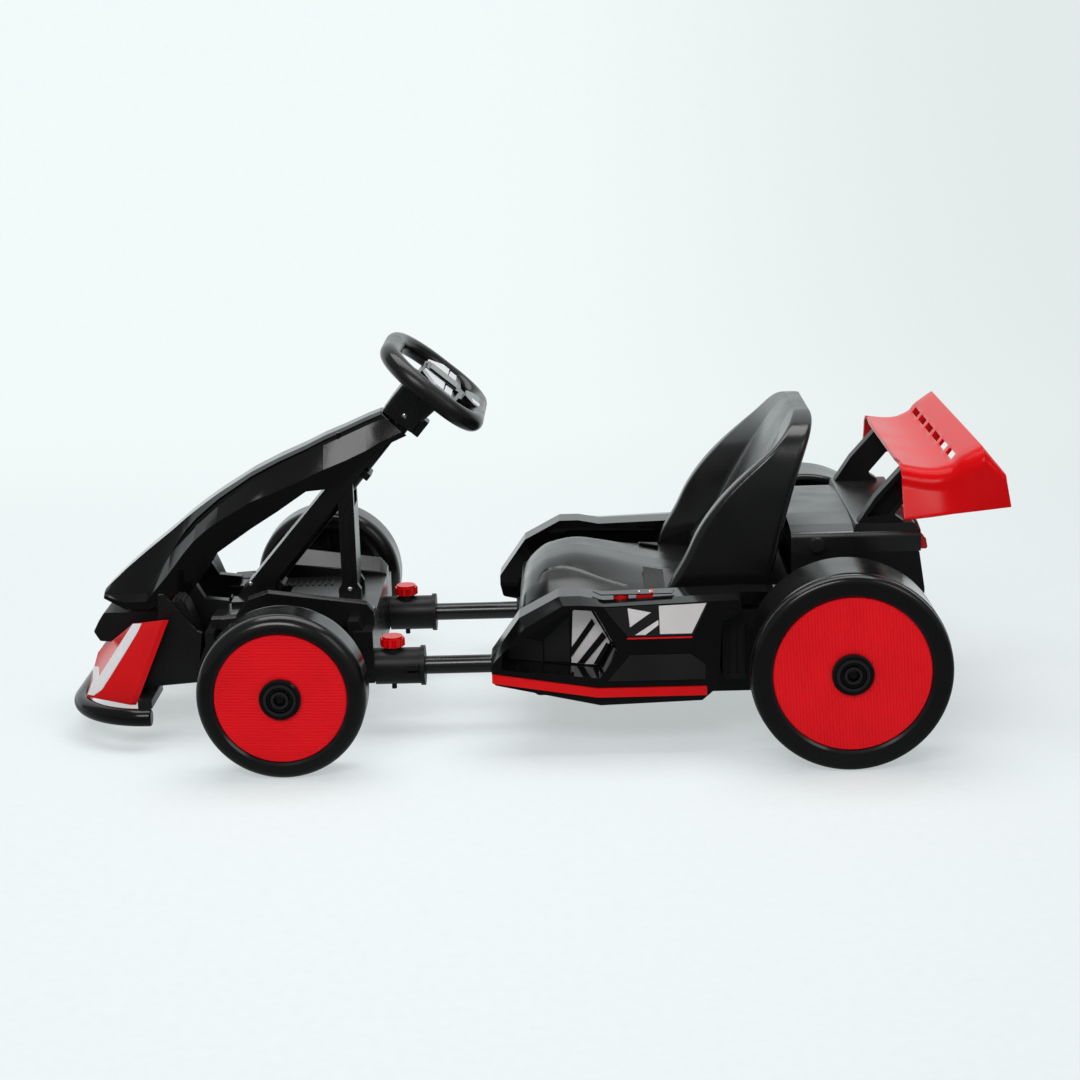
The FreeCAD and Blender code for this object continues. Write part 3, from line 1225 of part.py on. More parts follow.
sweep = bar.body.newObject("PartDesign::AdditivePipe", "bumper_bar_sweep")
sweep.Profile = section
sweep.Spine = path
bar.fillet(3.0, at_circle(bar_r.value))

fascia = Piece("bumper_fascia")
fascia_low = bar_z + bar_r + rest
FASCIA = [
    # y, then front low, front high, rear high, rear low as x and height above the bar
    (-178.0, (539.0, 0.0), (487.0, 118.7), (479.0, 118.7), (531.0, 0.0)),
    (-135.0, (608.0, 0.0), (536.0, 102.7), (527.0, 102.7), (598.0, 0.0)),
    (-62.0, (618.0, 0.0), (604.0, 41.5), (594.0, 41.5), (606.0, 0.0)),
    (62.0, (618.0, 0.0), (604.0, 41.5), (594.0, 41.5), (606.0, 0.0)),
    (135.0, (608.0, 0.0), (536.0, 102.7), (527.0, 102.7), (598.0, 0.0)),
    (178.0, (539.0, 0.0), (487.0, 118.7), (479.0, 118.7), (531.0, 0.0)),
]
fascia.loft("xz", [(y, [(fore(x), fascia_low + z) for x, z in points])
                   for y, *points in FASCIA])

# Foot plates on the bumper arms
for hand, side in SIDES:
    plate = Piece("foot_rest_" + hand)
    low, high = span(side, 101.0, 145.0)
    plate.pad("xz", low, high, [
        (fore(447.0), deck(107.0), 1.0), (fore(458.0), deck(112.2), 1.0),
        (fore(462.0), deck(134.0), 4.0), (fore(482.0), deck(186.0), 6.0),
        (fore(475.0), deck(196.0), 4.0), (fore(462.0), deck(193.0), 5.0),
        (fore(443.0), deck(140.0), 6.0),
    ])
    for x, z in ((449.0, 148.0), (454.0, 162.0), (459.0, 176.0)):
        plate.pad("xz", low, high, [
            (fore(x - 2.5), deck(z)), (fore(x + 6.0), deck(z - 3.0)), (fore(x + 7.0), deck(z)),
            (fore(x - 1.5), deck(z + 3.0))])

doc.recompute()

pieces = [item for item in doc.Objects if item.TypeId == "PartDesign::Body"]
for item in doc.Objects:
    for state in item.State:
        if state in ("Invalid", "Error"):
            raise RuntimeError("%s is %s" % (item.Name, state))
for item in pieces:
    if item.Shape.isNull() or not item.Shape.isValid():
        raise RuntimeError("%s has no valid shape" % item.Label)
    item.Shape.exportStep("parts/%s.step" % item.Label)

lows = [item.Shape.BoundBox for item in pieces]
print("x", min(b.XMin for b in lows), max(b.XMax for b in lows))
print("y", min(b.YMin for b in lows), max(b.YMax for b in lows))
print("z", min(b.ZMin for b in lows), max(b.ZMax for b in lows))
print("pieces", len(pieces), "volume", sum(item.Shape.Volume for item in pieces))
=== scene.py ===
import json
import math

import bmesh
import bpy
from mathutils import Matrix, Vector


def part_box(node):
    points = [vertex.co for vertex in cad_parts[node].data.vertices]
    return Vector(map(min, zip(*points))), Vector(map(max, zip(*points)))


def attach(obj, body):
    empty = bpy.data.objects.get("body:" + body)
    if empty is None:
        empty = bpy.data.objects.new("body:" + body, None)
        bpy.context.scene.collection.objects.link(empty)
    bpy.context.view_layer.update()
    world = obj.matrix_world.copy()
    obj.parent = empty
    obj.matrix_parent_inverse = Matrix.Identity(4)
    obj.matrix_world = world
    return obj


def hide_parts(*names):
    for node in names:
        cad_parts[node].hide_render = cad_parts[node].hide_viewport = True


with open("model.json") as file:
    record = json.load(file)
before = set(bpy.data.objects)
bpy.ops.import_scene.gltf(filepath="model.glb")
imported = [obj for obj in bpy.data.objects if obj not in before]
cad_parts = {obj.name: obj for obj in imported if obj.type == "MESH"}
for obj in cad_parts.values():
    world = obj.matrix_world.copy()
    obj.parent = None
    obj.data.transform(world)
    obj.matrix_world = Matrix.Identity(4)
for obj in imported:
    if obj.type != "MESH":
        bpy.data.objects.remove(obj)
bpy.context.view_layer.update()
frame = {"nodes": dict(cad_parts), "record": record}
nodes = frame["nodes"]
SIDES = (("left", 1.0), ("right", -1.0))


# Materials

def group(name, inputs, outputs):
    """An empty node group with its named sockets, and its input and output nodes."""
    tree = bpy.data.node_groups.new(name, "ShaderNodeTree")
    for label, kind, value in inputs:
        socket = tree.interface.new_socket(name=label, in_out="INPUT", socket_type=kind)
        if value is not None:
            socket.default_value = value
    for label, kind in outputs:
        tree.interface.new_socket(name=label, in_out="OUTPUT", socket_type=kind)
    return tree, tree.nodes.new("NodeGroupInput"), tree.nodes.new("NodeGroupOutput")


def node(tree, kind, inputs=None, **settings):
    """A node with its settings and its inputs, each a value or another node's socket."""
    made = tree.nodes.new(kind)
    for key, value in settings.items():
        setattr(made, key, value)
    for key, value in (inputs or {}).items():
        if isinstance(value, bpy.types.NodeSocket):
            tree.links.new(value, made.inputs[key])
        else:
            made.inputs[key].default_value = value
    return made


def build_moulded_grain():
    """Fine pebbled texture of moulded plastic: a height, and a mottle for the roughness."""
    tree, given, made = group(
        "moulded_grain",
        [("Size", "NodeSocketFloat", 900.0), ("Mottle Size", "NodeSocketFloat", 14.0)],
        [("Height", "NodeSocketFloat"), ("Mottle", "NodeSocketFloat")])
    place = node(tree, "ShaderNodeTexCoord")
    pebbles = node(tree, "ShaderNodeTexVoronoi",
                   {"Vector": place.outputs["Object"], "Scale": given.outputs["Size"]},
                   feature="SMOOTH_F1")
    mottle = node(tree, "ShaderNodeTexNoise",
                  {"Vector": place.outputs["Object"], "Scale": given.outputs["Mottle Size"],
                   "Detail": 3.0})
    tree.links.new(pebbles.outputs["Distance"], made.inputs["Height"])
    tree.links.new(mottle.outputs["Fac"], made.inputs["Mottle"])
    return tree


def build_edge_wear():
    """A mask of worn edges, from the bevelled normal against the plain one, broken by noise."""
    tree, given, made = group(
        "edge_wear",
        [("Width", "NodeSocketFloat", 0.0015), ("Amount", "NodeSocketFloat", 0.5)],
        [("Mask", "NodeSocketFloat")])
    plain = node(tree, "ShaderNodeNewGeometry")
    round_edge = node(tree, "ShaderNodeBevel", {"Radius": given.outputs["Width"]}, samples=4)
    match = node(tree, "ShaderNodeVectorMath",
                 {0: plain.outputs["Normal"], 1: round_edge.outputs["Normal"]},
                 operation="DOT_PRODUCT")
    edge = node(tree, "ShaderNodeMapRange",
                {"Value": match.outputs["Value"], "From Min": 0.995, "From Max": 0.9,
                 "To Min": 0.0, "To Max": 1.0})
    place = node(tree, "ShaderNodeTexCoord")
    broken = node(tree, "ShaderNodeTexNoise",
                  {"Vector": place.outputs["Object"], "Scale": 60.0, "Detail": 4.0})
    kept = node(tree, "ShaderNodeMath",
                {0: edge.outputs["Result"], 1: broken.outputs["Fac"]}, operation="MULTIPLY")
    scaled = node(tree, "ShaderNodeMath",
                  {0: kept.outputs["Value"], 1: given.outputs["Amount"]}, operation="MULTIPLY")
    tree.links.new(scaled.outputs["Value"], made.inputs["Mask"])
    return tree


def build_dust():
    """Faint dust that gathers on surfaces facing up."""
    tree, given, made = group(
        "dust", [("Amount", "NodeSocketFloat", 0.1)], [("Mask", "NodeSocketFloat")])
    surface = node(tree, "ShaderNodeNewGeometry")
    parts = node(tree, "ShaderNodeSeparateXYZ", {"Vector": surface.outputs["Normal"]})
    up = node(tree, "ShaderNodeMapRange",
              {"Value": parts.outputs["Z"], "From Min": 0.3, "From Max": 1.0})
    place = node(tree, "ShaderNodeTexCoord")
    cloud = node(tree, "ShaderNodeTexNoise",
                 {"Vector": place.outputs["Object"], "Scale": 9.0, "Detail": 5.0})
    spread = node(tree, "ShaderNodeMath",
                  {0: up.outputs["Result"], 1: cloud.outputs["Fac"]}, operation="MULTIPLY")
    scaled = node(tree, "ShaderNodeMath",
                  {0: spread.outputs["Value"], 1: given.outputs["Amount"]}, operation="MULTIPLY")
    tree.links.new(scaled.outputs["Value"], made.inputs["Mask"])
    return tree


GRAIN = build_moulded_grain()
WEAR = build_edge_wear()
DUST = build_dust()


def call(tree, which, inputs):
    """Places a shared effect in a material, with its own values."""
    made = node(tree, "ShaderNodeGroup")
    made.node_tree = which
    for key, value in inputs.items():
        made.inputs[key].default_value = value
    return made


MOTTLE_SIZE = 14.0
GRAIN_DEPTH = 0.00006
WEAR_WIDTH = 0.0012
DUST_COLOUR = (0.42, 0.41, 0.40, 1.0)


def plastic(name, colour, worn, rough, grain=0.0, grain_size=900.0, spread=0.08, coat=0.0,
            dust=0.06, wear=0.4, metal=0.0, specular=0.5):
    """A moulded or painted finish: colour, worn edge colour, roughness and pebble strength."""
    material = bpy.data.materials.new(name)
    material.use_nodes = True
    tree = material.node_tree
    shader = tree.nodes["Principled BSDF"]
    shader.inputs["Metallic"].default_value = metal
    shader.inputs["Specular IOR Level"].default_value = specular
    shader.inputs["Coat Weight"].default_value = coat
    shader.inputs["Coat Roughness"].default_value = 0.08
    texture = call(tree, GRAIN, {"Size": grain_size, "Mottle Size": MOTTLE_SIZE})
    edge = call(tree, WEAR, {"Width": WEAR_WIDTH, "Amount": wear})
    film = call(tree, DUST, {"Amount": dust})
    base = node(tree, "ShaderNodeMix", {"Factor": texture.outputs["Mottle"]}, data_type="RGBA")
    low = [c * 0.86 for c in colour]
    high = [min(1.0, c * 1.12) for c in colour]
    base.inputs["A"].default_value = (*low, 1.0)
    base.inputs["B"].default_value = (*high, 1.0)
    rubbed = node(tree, "ShaderNodeMix", {"Factor": edge.outputs["Mask"],
                                          "A": base.outputs["Result"]}, data_type="RGBA")
    rubbed.inputs["B"].default_value = (*worn, 1.0)
    dusty = node(tree, "ShaderNodeMix", {"Factor": film.outputs["Mask"],
                                         "A": rubbed.outputs["Result"]}, data_type="RGBA")
    dusty.inputs["B"].default_value = DUST_COLOUR
    tree.links.new(dusty.outputs["Result"], shader.inputs["Base Color"])
    roughness = node(tree, "ShaderNodeMapRange",
                     {"Value": texture.outputs["Mottle"], "From Min": 0.3, "From Max": 0.7,
                      "To Min": max(0.02, rough - spread), "To Max": min(1.0, rough + spread)})
    tree.links.new(roughness.outputs["Result"], shader.inputs["Roughness"])
    if grain > 0.0:
        relief = node(tree, "ShaderNodeBump",
                      {"Height": texture.outputs["Height"], "Strength": grain,
                       "Distance": GRAIN_DEPTH})
        tree.links.new(relief.outputs["Normal"], shader.inputs["Normal"])
    return material


BLACK_WORN = (0.045, 0.045, 0.045)
tyre_black = plastic("tyre_black", (0.0045, 0.0042, 0.0045), BLACK_WORN, 0.2, grain=0.25,
                     specular=0.36, dust=0.008)
GLOSS_WORN = (0.03, 0.03, 0.03)
gloss_black = plastic("gloss_black", (0.0028, 0.0026, 0.0029), GLOSS_WORN, 0.115, spread=0.04,
                      wear=0.25, specular=0.3, dust=0.008)
satin_black = plastic("satin_black", (0.0062, 0.0058, 0.0062), BLACK_WORN, 0.26, grain=0.3,
                      specular=0.36, dust=0.012)
cover_black = plastic("cover_black", (0.006, 0.0058, 0.0066), BLACK_WORN, 0.3, grain=0.2,
                      specular=1.0, dust=0.02)
textured_black = plastic("textured_black", (0.0078, 0.0074, 0.0078), BLACK_WORN, 0.38, grain=0.8,
                         specular=0.2, dust=0.012)
seat_black = plastic("seat_black", (0.0058, 0.0055, 0.0058), BLACK_WORN, 0.24, grain=0.4,
                     specular=0.5, dust=0.008)
# Grey of the pod panels; on the hub cap rings this lighter grey is a painted highlight.
grey_panel_and_ring_highlight = plastic("grey_panel_and_ring_highlight", (0.012, 0.0115, 0.0122), BLACK_WORN, 0.42, grain=0.9,
                     grain_size=500.0, specular=0.22, dust=0.01)
silver_paint = plastic("silver_paint", (0.72, 0.67, 0.66), (0.75, 0.72, 0.72), 0.34, grain=0.2,
                       grain_size=1600.0, metal=0.15, dust=0.01)
bright_silver = plastic("bright_silver", (0.66, 0.66, 0.68), (0.8, 0.8, 0.8), 0.3, grain=0.2,
                        grain_size=1600.0, metal=0.2, dust=0.01)
white_print = plastic("white_print", (0.78, 0.76, 0.77), (0.7, 0.6, 0.6), 0.3, dust=0.04)
RED_WORN = (0.70, 0.03, 0.03)
gloss_red = plastic("gloss_red", (0.66, 0.002, 0.004), RED_WORN, 0.17, spread=0.05,
                    dust=0.006, specular=0.28)
wing_red = plastic("wing_red", (0.60, 0.002, 0.004), RED_WORN, 0.2, spread=0.05,
                   dust=0.004, specular=0.1)
disc_red = plastic("disc_red", (0.76, 0.003, 0.009), (0.72, 0.03, 0.04), 0.34, spread=0.05,
                   dust=0.003, specular=0.14)
clear_red = plastic("clear_red", (0.5, 0.006, 0.008), (0.7, 0.05, 0.05), 0.1, spread=0.03,
                    coat=1.0, dust=0.02)
tube_black = plastic("tube_black", (0.006, 0.0058, 0.006), (0.12, 0.12, 0.12), 0.2, spread=0.05,
                     dust=0.02)
steel = plastic("steel", (0.55, 0.55, 0.56), (0.7, 0.7, 0.7), 0.3, metal=1.0)


def webbing_material():
    """Woven polyester webbing: ribs across the strap, crossed by finer threads."""
    material = bpy.data.materials.new("webbing")
    material.use_nodes = True
    tree = material.node_tree
    shader = tree.nodes["Principled BSDF"]
    shader.inputs["Specular IOR Level"].default_value = 0.25
    shader.inputs["Sheen Weight"].default_value = 0.2
    place = node(tree, "ShaderNodeTexCoord")
    ribs = node(tree, "ShaderNodeTexWave",
                {"Vector": place.outputs["Object"], "Scale": 330.0, "Distortion": 0.4},
                wave_type="BANDS", bands_direction="X")
    threads = node(tree, "ShaderNodeTexWave",
                   {"Vector": place.outputs["Object"], "Scale": 210.0, "Distortion": 0.6},
                   wave_type="BANDS", bands_direction="Y")
    weave = node(tree, "ShaderNodeMath",
                 {0: ribs.outputs["Fac"], 1: threads.outputs["Fac"]}, operation="MULTIPLY")
    colour = node(tree, "ShaderNodeMix", {"Factor": weave.outputs["Value"]}, data_type="RGBA")
    colour.inputs["A"].default_value = (0.012, 0.012, 0.012, 1.0)
    colour.inputs["B"].default_value = (0.055, 0.053, 0.054, 1.0)
    tree.links.new(colour.outputs["Result"], shader.inputs["Base Color"])
    rough = node(tree, "ShaderNodeMapRange", {"Value": weave.outputs["Value"],
                                              "To Min": 0.9, "To Max": 0.6})
    tree.links.new(rough.outputs["Result"], shader.inputs["Roughness"])
    relief = node(tree, "ShaderNodeBump",
                  {"Height": weave.outputs["Value"], "Strength": 0.8, "Distance": 0.0004})
    tree.links.new(relief.outputs["Normal"], shader.inputs["Normal"])
    return material


webbing = webbing_material()
FINISH = {
    "tyre": tyre_black, "gloss_black": gloss_black, "matte_black": textured_black,
    "red": gloss_red, "red_disc": disc_red, "tube": tube_black, "steel": steel,
    "webbing": webbing, "lamp": clear_red,
}
OWN_FINISH = {
    "seat": seat_black, "steering_wheel": satin_black, "steering_hub": satin_black,
    "front_chassis": satin_black, "column_brace": satin_black, "column_post": satin_black,
    "rear_cover": cover_black,
}
for part in frame["record"]["subparts"]:
    item = nodes[part["node"]]
    finish = OWN_FINISH.get(part["node"], FINISH[part["material_slot"]])
    if not item.material_slots:
        item.data.materials.append(finish)
    for place in item.material_slots:
        place.link = "OBJECT"
        place.material = finish


# Pieces, drawn in millimetres like the part and moved to the frame's origin

ORIGIN_AHEAD = 4.25
MILLIMETRE = 0.001
CREASE = math.radians(32.0)


def at(x, y, z):
    """A drawn point as a place in metres."""
    return Vector((x + ORIGIN_AHEAD, y, z)) * MILLIMETRE


def finished(name, form, finish, body, bevel=0.0):
    """A piece from its faces, with softened edges, that moves with a body."""
    bmesh.ops.recalc_face_normals(form, faces=form.faces)
    if bevel > 0.0:
        bmesh.ops.bevel(form, geom=form.edges, offset=bevel * MILLIMETRE, segments=2,
                        affect="EDGES", clamp_overlap=True)
    mesh = bpy.data.meshes.new(name)
    form.to_mesh(mesh)
    form.free()
    mesh.materials.append(finish)
    for face in mesh.polygons:
        face.use_smooth = True
    mesh.set_sharp_from_angle(angle=CREASE)
    item = bpy.data.objects.new(name, mesh)
    bpy.context.scene.collection.objects.link(item)
    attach(item, body)
    return item


def add_band(form, a, b):
    """A closed band of faces between two loops of the same length."""
    for i in range(len(a)):
        j = (i + 1) % len(a)
        form.faces.new((a[i], a[j], b[j], b[i]))


def add_tube(form, loops):
    """Bands through all the loops, closed at both ends."""
    for a, b in zip(loops, loops[1:]):
        add_band(form, a, b)
    form.faces.new(loops[0][::-1])
    form.faces.new(loops[-1])


def add_prism(form, low, high):
    """A closed block between two loops of places."""
    bottom = [form.verts.new(p) for p in low]
    top = [form.verts.new(p) for p in high]
    form.faces.new(bottom[::-1])
    form.faces.new(top)
    add_band(form, bottom, top)


def side_plate(name, outline, side, low, high, finish, body, bevel=0.2):
    """A plate whose outline is x and z, between two distances from the middle."""
    form = bmesh.new()
    add_prism(form, [at(x, low * side, z) for x, z in outline],
              [at(x, high * side, z) for x, z in outline])
    return finished(name, form, finish, body, bevel)


# Cover discs: raised ribs across each face

DISCS = [
    # end, axle x and z, face of the disc, radius, rib spacing, lean of the ribs in degrees
    ("front", 312.0, 110.0, 336.5, 84.5, 4.0, 1.5),
    ("rear", -420.0, 130.0, 353.0, 100.0, 4.1, 87.0),
]
CAP_RADIUS = 26.0
RIB_FOOT = (0.36, -0.4)
RIB_CREST = (0.27, 0.9)


def ribbed_face(name, x, z, face, radius, spacing, lean, side, body):
    """Straight ribs over a round face, with half widths in shares of the spacing."""
    form = bmesh.new()
    lean = math.radians(lean)
    along = Vector((math.cos(lean), 0.0, math.sin(lean)))
    across = Vector((-math.sin(lean), 0.0, math.cos(lean)))
    middle = Vector((x, 0.0, z))
    count = int(2.0 * radius / spacing)
    for i in range(count):
        off = (i - (count - 1) / 2.0) * spacing
        half = math.sqrt(max(radius ** 2 - (abs(off) + spacing * 0.34) ** 2, 4.0))
        gap = math.sqrt(max(CAP_RADIUS ** 2 - off ** 2, 0.0))
        runs = [(-half, -gap), (gap, half)] if gap > 1.0 else [(-half, half)]
        for start, end in runs:
            loops = []
            for wide, proud in (RIB_FOOT, RIB_CREST):
                loop = []
                for run, rise in ((start, -wide), (end, -wide), (end, wide), (start, wide)):
                    p = middle + along * run + across * (off + rise * spacing)
                    loop.append(at(p.x, (face + proud) * side, p.z))
                loops.append(loop)
            add_prism(form, loops[0], loops[1])
    return finished(name, form, disc_red, body)


RING_HEIGHT = 1.6
CAP_RINGS = [
    # inner and outer radius, points around, depth of the notches on the inner edge
    (17.5, 21.0, 48, 0.0), (9.0, 11.5, 24, 1.6),
]


def cap_socket(name, x, z, face, side, body):
    """Twelve-pointed socket and a raised ring on a hub cap, whose lighter grey is a painted
    highlight on the ring.
    """
    form = bmesh.new()
    for inner, outer, points, notch in CAP_RINGS:
        rings = []
        for edge, proud in ((inner, 0.0), (inner, RING_HEIGHT), (outer, RING_HEIGHT), (outer, 0.0)):
            ring = []
            for i in range(points):
                angle = 2.0 * math.pi * i / points
                reach = edge - notch if edge == inner and i % 2 == 0 else edge
                ring.append(form.verts.new(at(x + reach * math.cos(angle), (face + proud) * side,
                                              z + reach * math.sin(angle))))
            rings.append(ring)
        for a, b in zip(rings, rings[1:] + rings[:1]):
            add_band(form, a, b)
    # The lighter grey finish here paints the highlight of the hub cap's ring.
    return finished(name, form, grey_panel_and_ring_highlight, body)


for end, x, z, face, radius, spacing, lean in DISCS:
    for hand, side in SIDES:
        body = "%s_wheel_%s" % (end, hand)
        ribbed_face("%s_disc_ribs_%s" % (end, hand), x, z, face, radius, spacing, lean, side, body)
        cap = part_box("%s_cap_%s" % (end, hand))
        cap_face = max(abs(cap[0][1]), abs(cap[1][1])) / MILLIMETRE
        cap_socket("%s_cap_ring_%s" % (end, hand), x, z, cap_face - 0.2, side, body)


# Side pods: panels in the opening and on the face

RECESS_PANEL = (217.8, 219.4)
RECESS_DARK_PANEL = (217.8, 219.6)
RECESS_BAR = (219.0, 221.2)
UPPER_MARK = (262.3, 262.9)
POD_PANELS = [
    # name, outline in x and z, distances of its faces from the middle, finish, slot
    ("grille_panel",
     [(-66.0, 185.0), (-71.0, 188.0), (-89.0, 187.0), (-103.0, 162.0), (-114.5, 141.0),
      (-98.5, 110.5), (-80.0, 111.5), (-62.5, 114.0)],
     RECESS_PANEL, silver_paint, None),
    ("grille_bar_front",
     [(-62.9, 134.9), (-62.5, 121.6), (-95.0, 167.1), (-90.8, 173.8)],
     RECESS_BAR, gloss_black, "gloss_black"),
    ("grille_bar_middle",
     [(-70.5, 113.5), (-79.5, 112.5), (-109.9, 148.2), (-104.5, 155.5)],
     RECESS_BAR, gloss_black, "gloss_black"),
    ("grille_bar_rear",
     [(-92.0, 112.0), (-98.6, 111.0), (-113.6, 138.0), (-109.5, 141.0)],
     RECESS_BAR, gloss_black, "gloss_black"),
    ("inner_panel_front",
     [(20.5, 122.0), (19.5, 137.5), (-4.4, 149.5), (-24.5, 143.7), (-24.5, 116.5)],
     RECESS_DARK_PANEL, grey_panel_and_ring_highlight, "matte_black"),
    ("inner_panel_rear",
     [(-27.1, 146.3), (-60.5, 178.0), (-60.5, 115.0), (-27.1, 117.0)],
     RECESS_DARK_PANEL, grey_panel_and_ring_highlight, "matte_black"),
    ("upper_panel",
     [(-107.0, 199.5), (-243.0, 204.5), (-222.5, 160.5), (-137.5, 160.5), (-117.0, 186.0)],
     (261.4, 262.5), grey_panel_and_ring_highlight, "matte_black"),
    ("upper_triangle",
     [(-137.8, 199.0), (-168.0, 192.6), (-140.4, 173.0)],
     UPPER_MARK, silver_paint, None),
    ("upper_block",
     [(-178.5, 201.2), (-240.5, 203.4), (-221.0, 163.0), (-179.4, 163.0)],
     UPPER_MARK, silver_paint, None),
    ("upper_diagonal",
     [(-177.6, 182.2), (-146.8, 162.3), (-160.5, 162.3), (-177.8, 175.4)],
     UPPER_MARK, silver_paint, None),
    ("upper_line",
     [(-137.1, 158.9), (-221.4, 158.9), (-222.2, 156.7), (-136.0, 156.7)],
     (261.8, 262.8), gloss_red, "red"),
    ("lower_panel",
     [(-140.0, 134.5), (-219.5, 134.5), (-238.5, 119.5), (-238.5, 99.5), (-110.0, 99.5)],
     (260.0, 261.3), grey_panel_and_ring_highlight, "matte_black"),
]
for hand, side in SIDES:
    for name, outline, (low, high), finish, slot in POD_PANELS:
        side_plate("pod_%s_%s" % (name, hand), outline, side, low, high, finish, "rear_section")


# Switch tray on the left rail, with the marks of the switches

TRAY_OUTLINE = [(-93.0, 220.5), (-103.0, 239.5), (-197.0, 239.5), (-201.0, 220.5)]
TRAY_LOW, TRAY_TOP = 210.6, 212.0
MARK_SECTION = [(227.5, 211.0), (234.5, 211.0), (234.5, 213.4), (227.5, 213.4)]
MARK_HALF = 0.8

form = bmesh.new()
add_prism(form, [at(x, y, TRAY_LOW) for x, y in TRAY_OUTLINE],
          [at(x, y, TRAY_TOP) for x, y in TRAY_OUTLINE])
finished("switch_tray", form, satin_black, "rear_section", 0.4)
form = bmesh.new()
for x in (-168.0, -154.0):
    add_prism(form, [at(x - MARK_HALF, y, z) for y, z in MARK_SECTION],
              [at(x + MARK_HALF, y, z) for y, z in MARK_SECTION])
finished("rocker_marks", form, white_print, "rear_section")


# Bumper fascia: a white angled stripe on each side

FASCIA = [
    # distance from the middle, then x and z of the low and the high edge
    (0.0, 618.0, 56.3, 604.0, 97.8), (62.0, 618.0, 56.3, 604.0, 97.8),
    (135.0, 608.0, 56.3, 536.0, 159.0), (178.0, 539.0, 56.3, 487.0, 175.0),
]


def on_fascia(facet, across, rise, proud, side):
    """A place on a facet of the fascia, by its shares across and up."""
    near, far = FASCIA[facet], FASCIA[facet + 1]
    y, x_low, z_low, x_high, z_high = [a + (b - a) * across for a, b in zip(near, far)]
    return at(x_low + (x_high - x_low) * rise + proud, y * side, z_low + (z_high - z_low) * rise)


CHEVRON = [
    # facet, then shares across and up
    (2, [(0.0, 1.0), (0.3, 0.99), (0.33, 0.88), (0.24, 0.12), (0.14, 0.03), (0.0, 0.03)]),
    (1, [(1.0, 0.03), (1.0, 0.25), (0.36, 0.45), (0.0, 0.52), (0.0, 0.39), (0.55, 0.17)]),
]
for hand, side in SIDES:
    form = bmesh.new()
    for facet, outline in CHEVRON:
        add_prism(form, [on_fascia(facet, a, b, -0.6, side) for a, b in outline],
                  [on_fascia(facet, a, b, 0.7, side) for a, b in outline])
    finished("fascia_stripe_" + hand, form, white_print, "front_section")


# Steering wheel: silver panels, drawn in the plane of the wheel

TILT = math.radians(40.0)
WHEEL_X, WHEEL_Z = 125.0, 456.0
SPOKE_PANEL = [(21.5, 32.0), (-13.0, 32.0), (-13.0, 84.0), (-1.0, 84.0), (13.0, 57.0), (21.5, 42.0)]
SPOKE_KEY = [(-15.5, 34.0), (-27.0, 34.0), (-27.0, 82.0), (-15.5, 82.0)]
LOWER_PANEL = [(-45.0, -21.0), (-60.0, -40.0), (-80.0, -40.0), (-80.0, 40.0), (-60.0, 40.0),
               (-45.0, 21.0)]
LOWER_BADGE = [(-56.0, 8.0), (-70.0, 8.0), (-70.0, 30.0), (-60.0, 30.0)]
CENTRE_CAP = [(16.0, -22.0), (-31.0, -22.0), (-31.0, 22.0), (16.0, 22.0)]


def on_wheel(x, y, z):
    """A place by its run up the wheel, across it and above its centre."""
    return at(WHEEL_X + x * math.cos(TILT) - z * math.sin(TILT), y,
              WHEEL_Z + x * math.sin(TILT) + z * math.cos(TILT))


def wheel_plate(name, outline, low, high, finish, bevel=0.5):
    """A plate on the steering wheel, between two heights above its centre."""
    form = bmesh.new()
    add_prism(form, [on_wheel(x, y, low) for x, y in outline],
              [on_wheel(x, y, high) for x, y in outline])
    return finished(name, form, finish, "steering", bevel)


for hand, side in SIDES:
    wheel_plate("spoke_panel_" + hand, [(x, y * side) for x, y in SPOKE_PANEL], 15.5, 20.5,
                bright_silver)
    wheel_plate("spoke_key_" + hand, [(x, y * side) for x, y in SPOKE_KEY], 15.5, 19.6,
                bright_silver)
wheel_plate("wheel_lower_panel", LOWER_PANEL, 15.0, 22.4, gloss_black, 1.2)
wheel_plate("wheel_lower_badge", LOWER_BADGE, 22.0, 22.9, bright_silver, 0.2)
wheel_plate("wheel_centre_cap", CENTRE_CAP, 20.5, 23.0, gloss_black, 1.0)


# Screw heads

SCREWS = [
    # name, place on the left side, radius, body
    ("hub_screw", (160.6, 26.4, 417.9), 3.6, "steering"),
    ("post_screw", (248.0, 29.8, 172.5), 3.6, "front_section"),
    ("cover_screw_front", (-402.0, 149.8, 196.0), 3.4, "rear_section"),
    ("cover_screw_rear", (-500.0, 149.8, 200.0), 3.4, "rear_section"),
    ("brace_screw_low", (388.0, 29.8, 184.0), 3.4, "front_section"),
]
HEAD_PROFILE = [
    # share of the radius and height, from the foot over the dome into the recess
    (1.0, -0.3), (1.0, 0.9), (0.8, 1.6), (0.45, 2.0), (0.42, 1.2),
]
HEAD_POINTS = 16


def screw_head(name, place, side, radius, body):
    """A domed head with a cross recess, facing away from the middle."""
    form = bmesh.new()
    turn = Vector((0.0, side, 0.0)).to_track_quat("Z", "Y")
    middle = Vector((place[0], place[1] * side, place[2]))
    rings = []
    for share, rise in HEAD_PROFILE:
        ring = []
        for i in range(HEAD_POINTS):
            angle = 2.0 * math.pi * i / HEAD_POINTS
            reach = radius * share
            if share < 0.5 and i % 4 == 2:
                reach *= 0.5
            p = Vector((reach * math.cos(angle), reach * math.sin(angle), rise))
            ring.append(form.verts.new(at(*(middle + turn @ p))))
        rings.append(ring)
    add_tube(form, rings)
    return finished(name, form, steel, body)


for name, place, radius, body in SCREWS:
    for hand, side in SIDES:
        screw_head("%s_%s" % (name, hand), place, side, radius, body)


# Foot plates: moulded with full round edges, and three treads on the face for the shoe

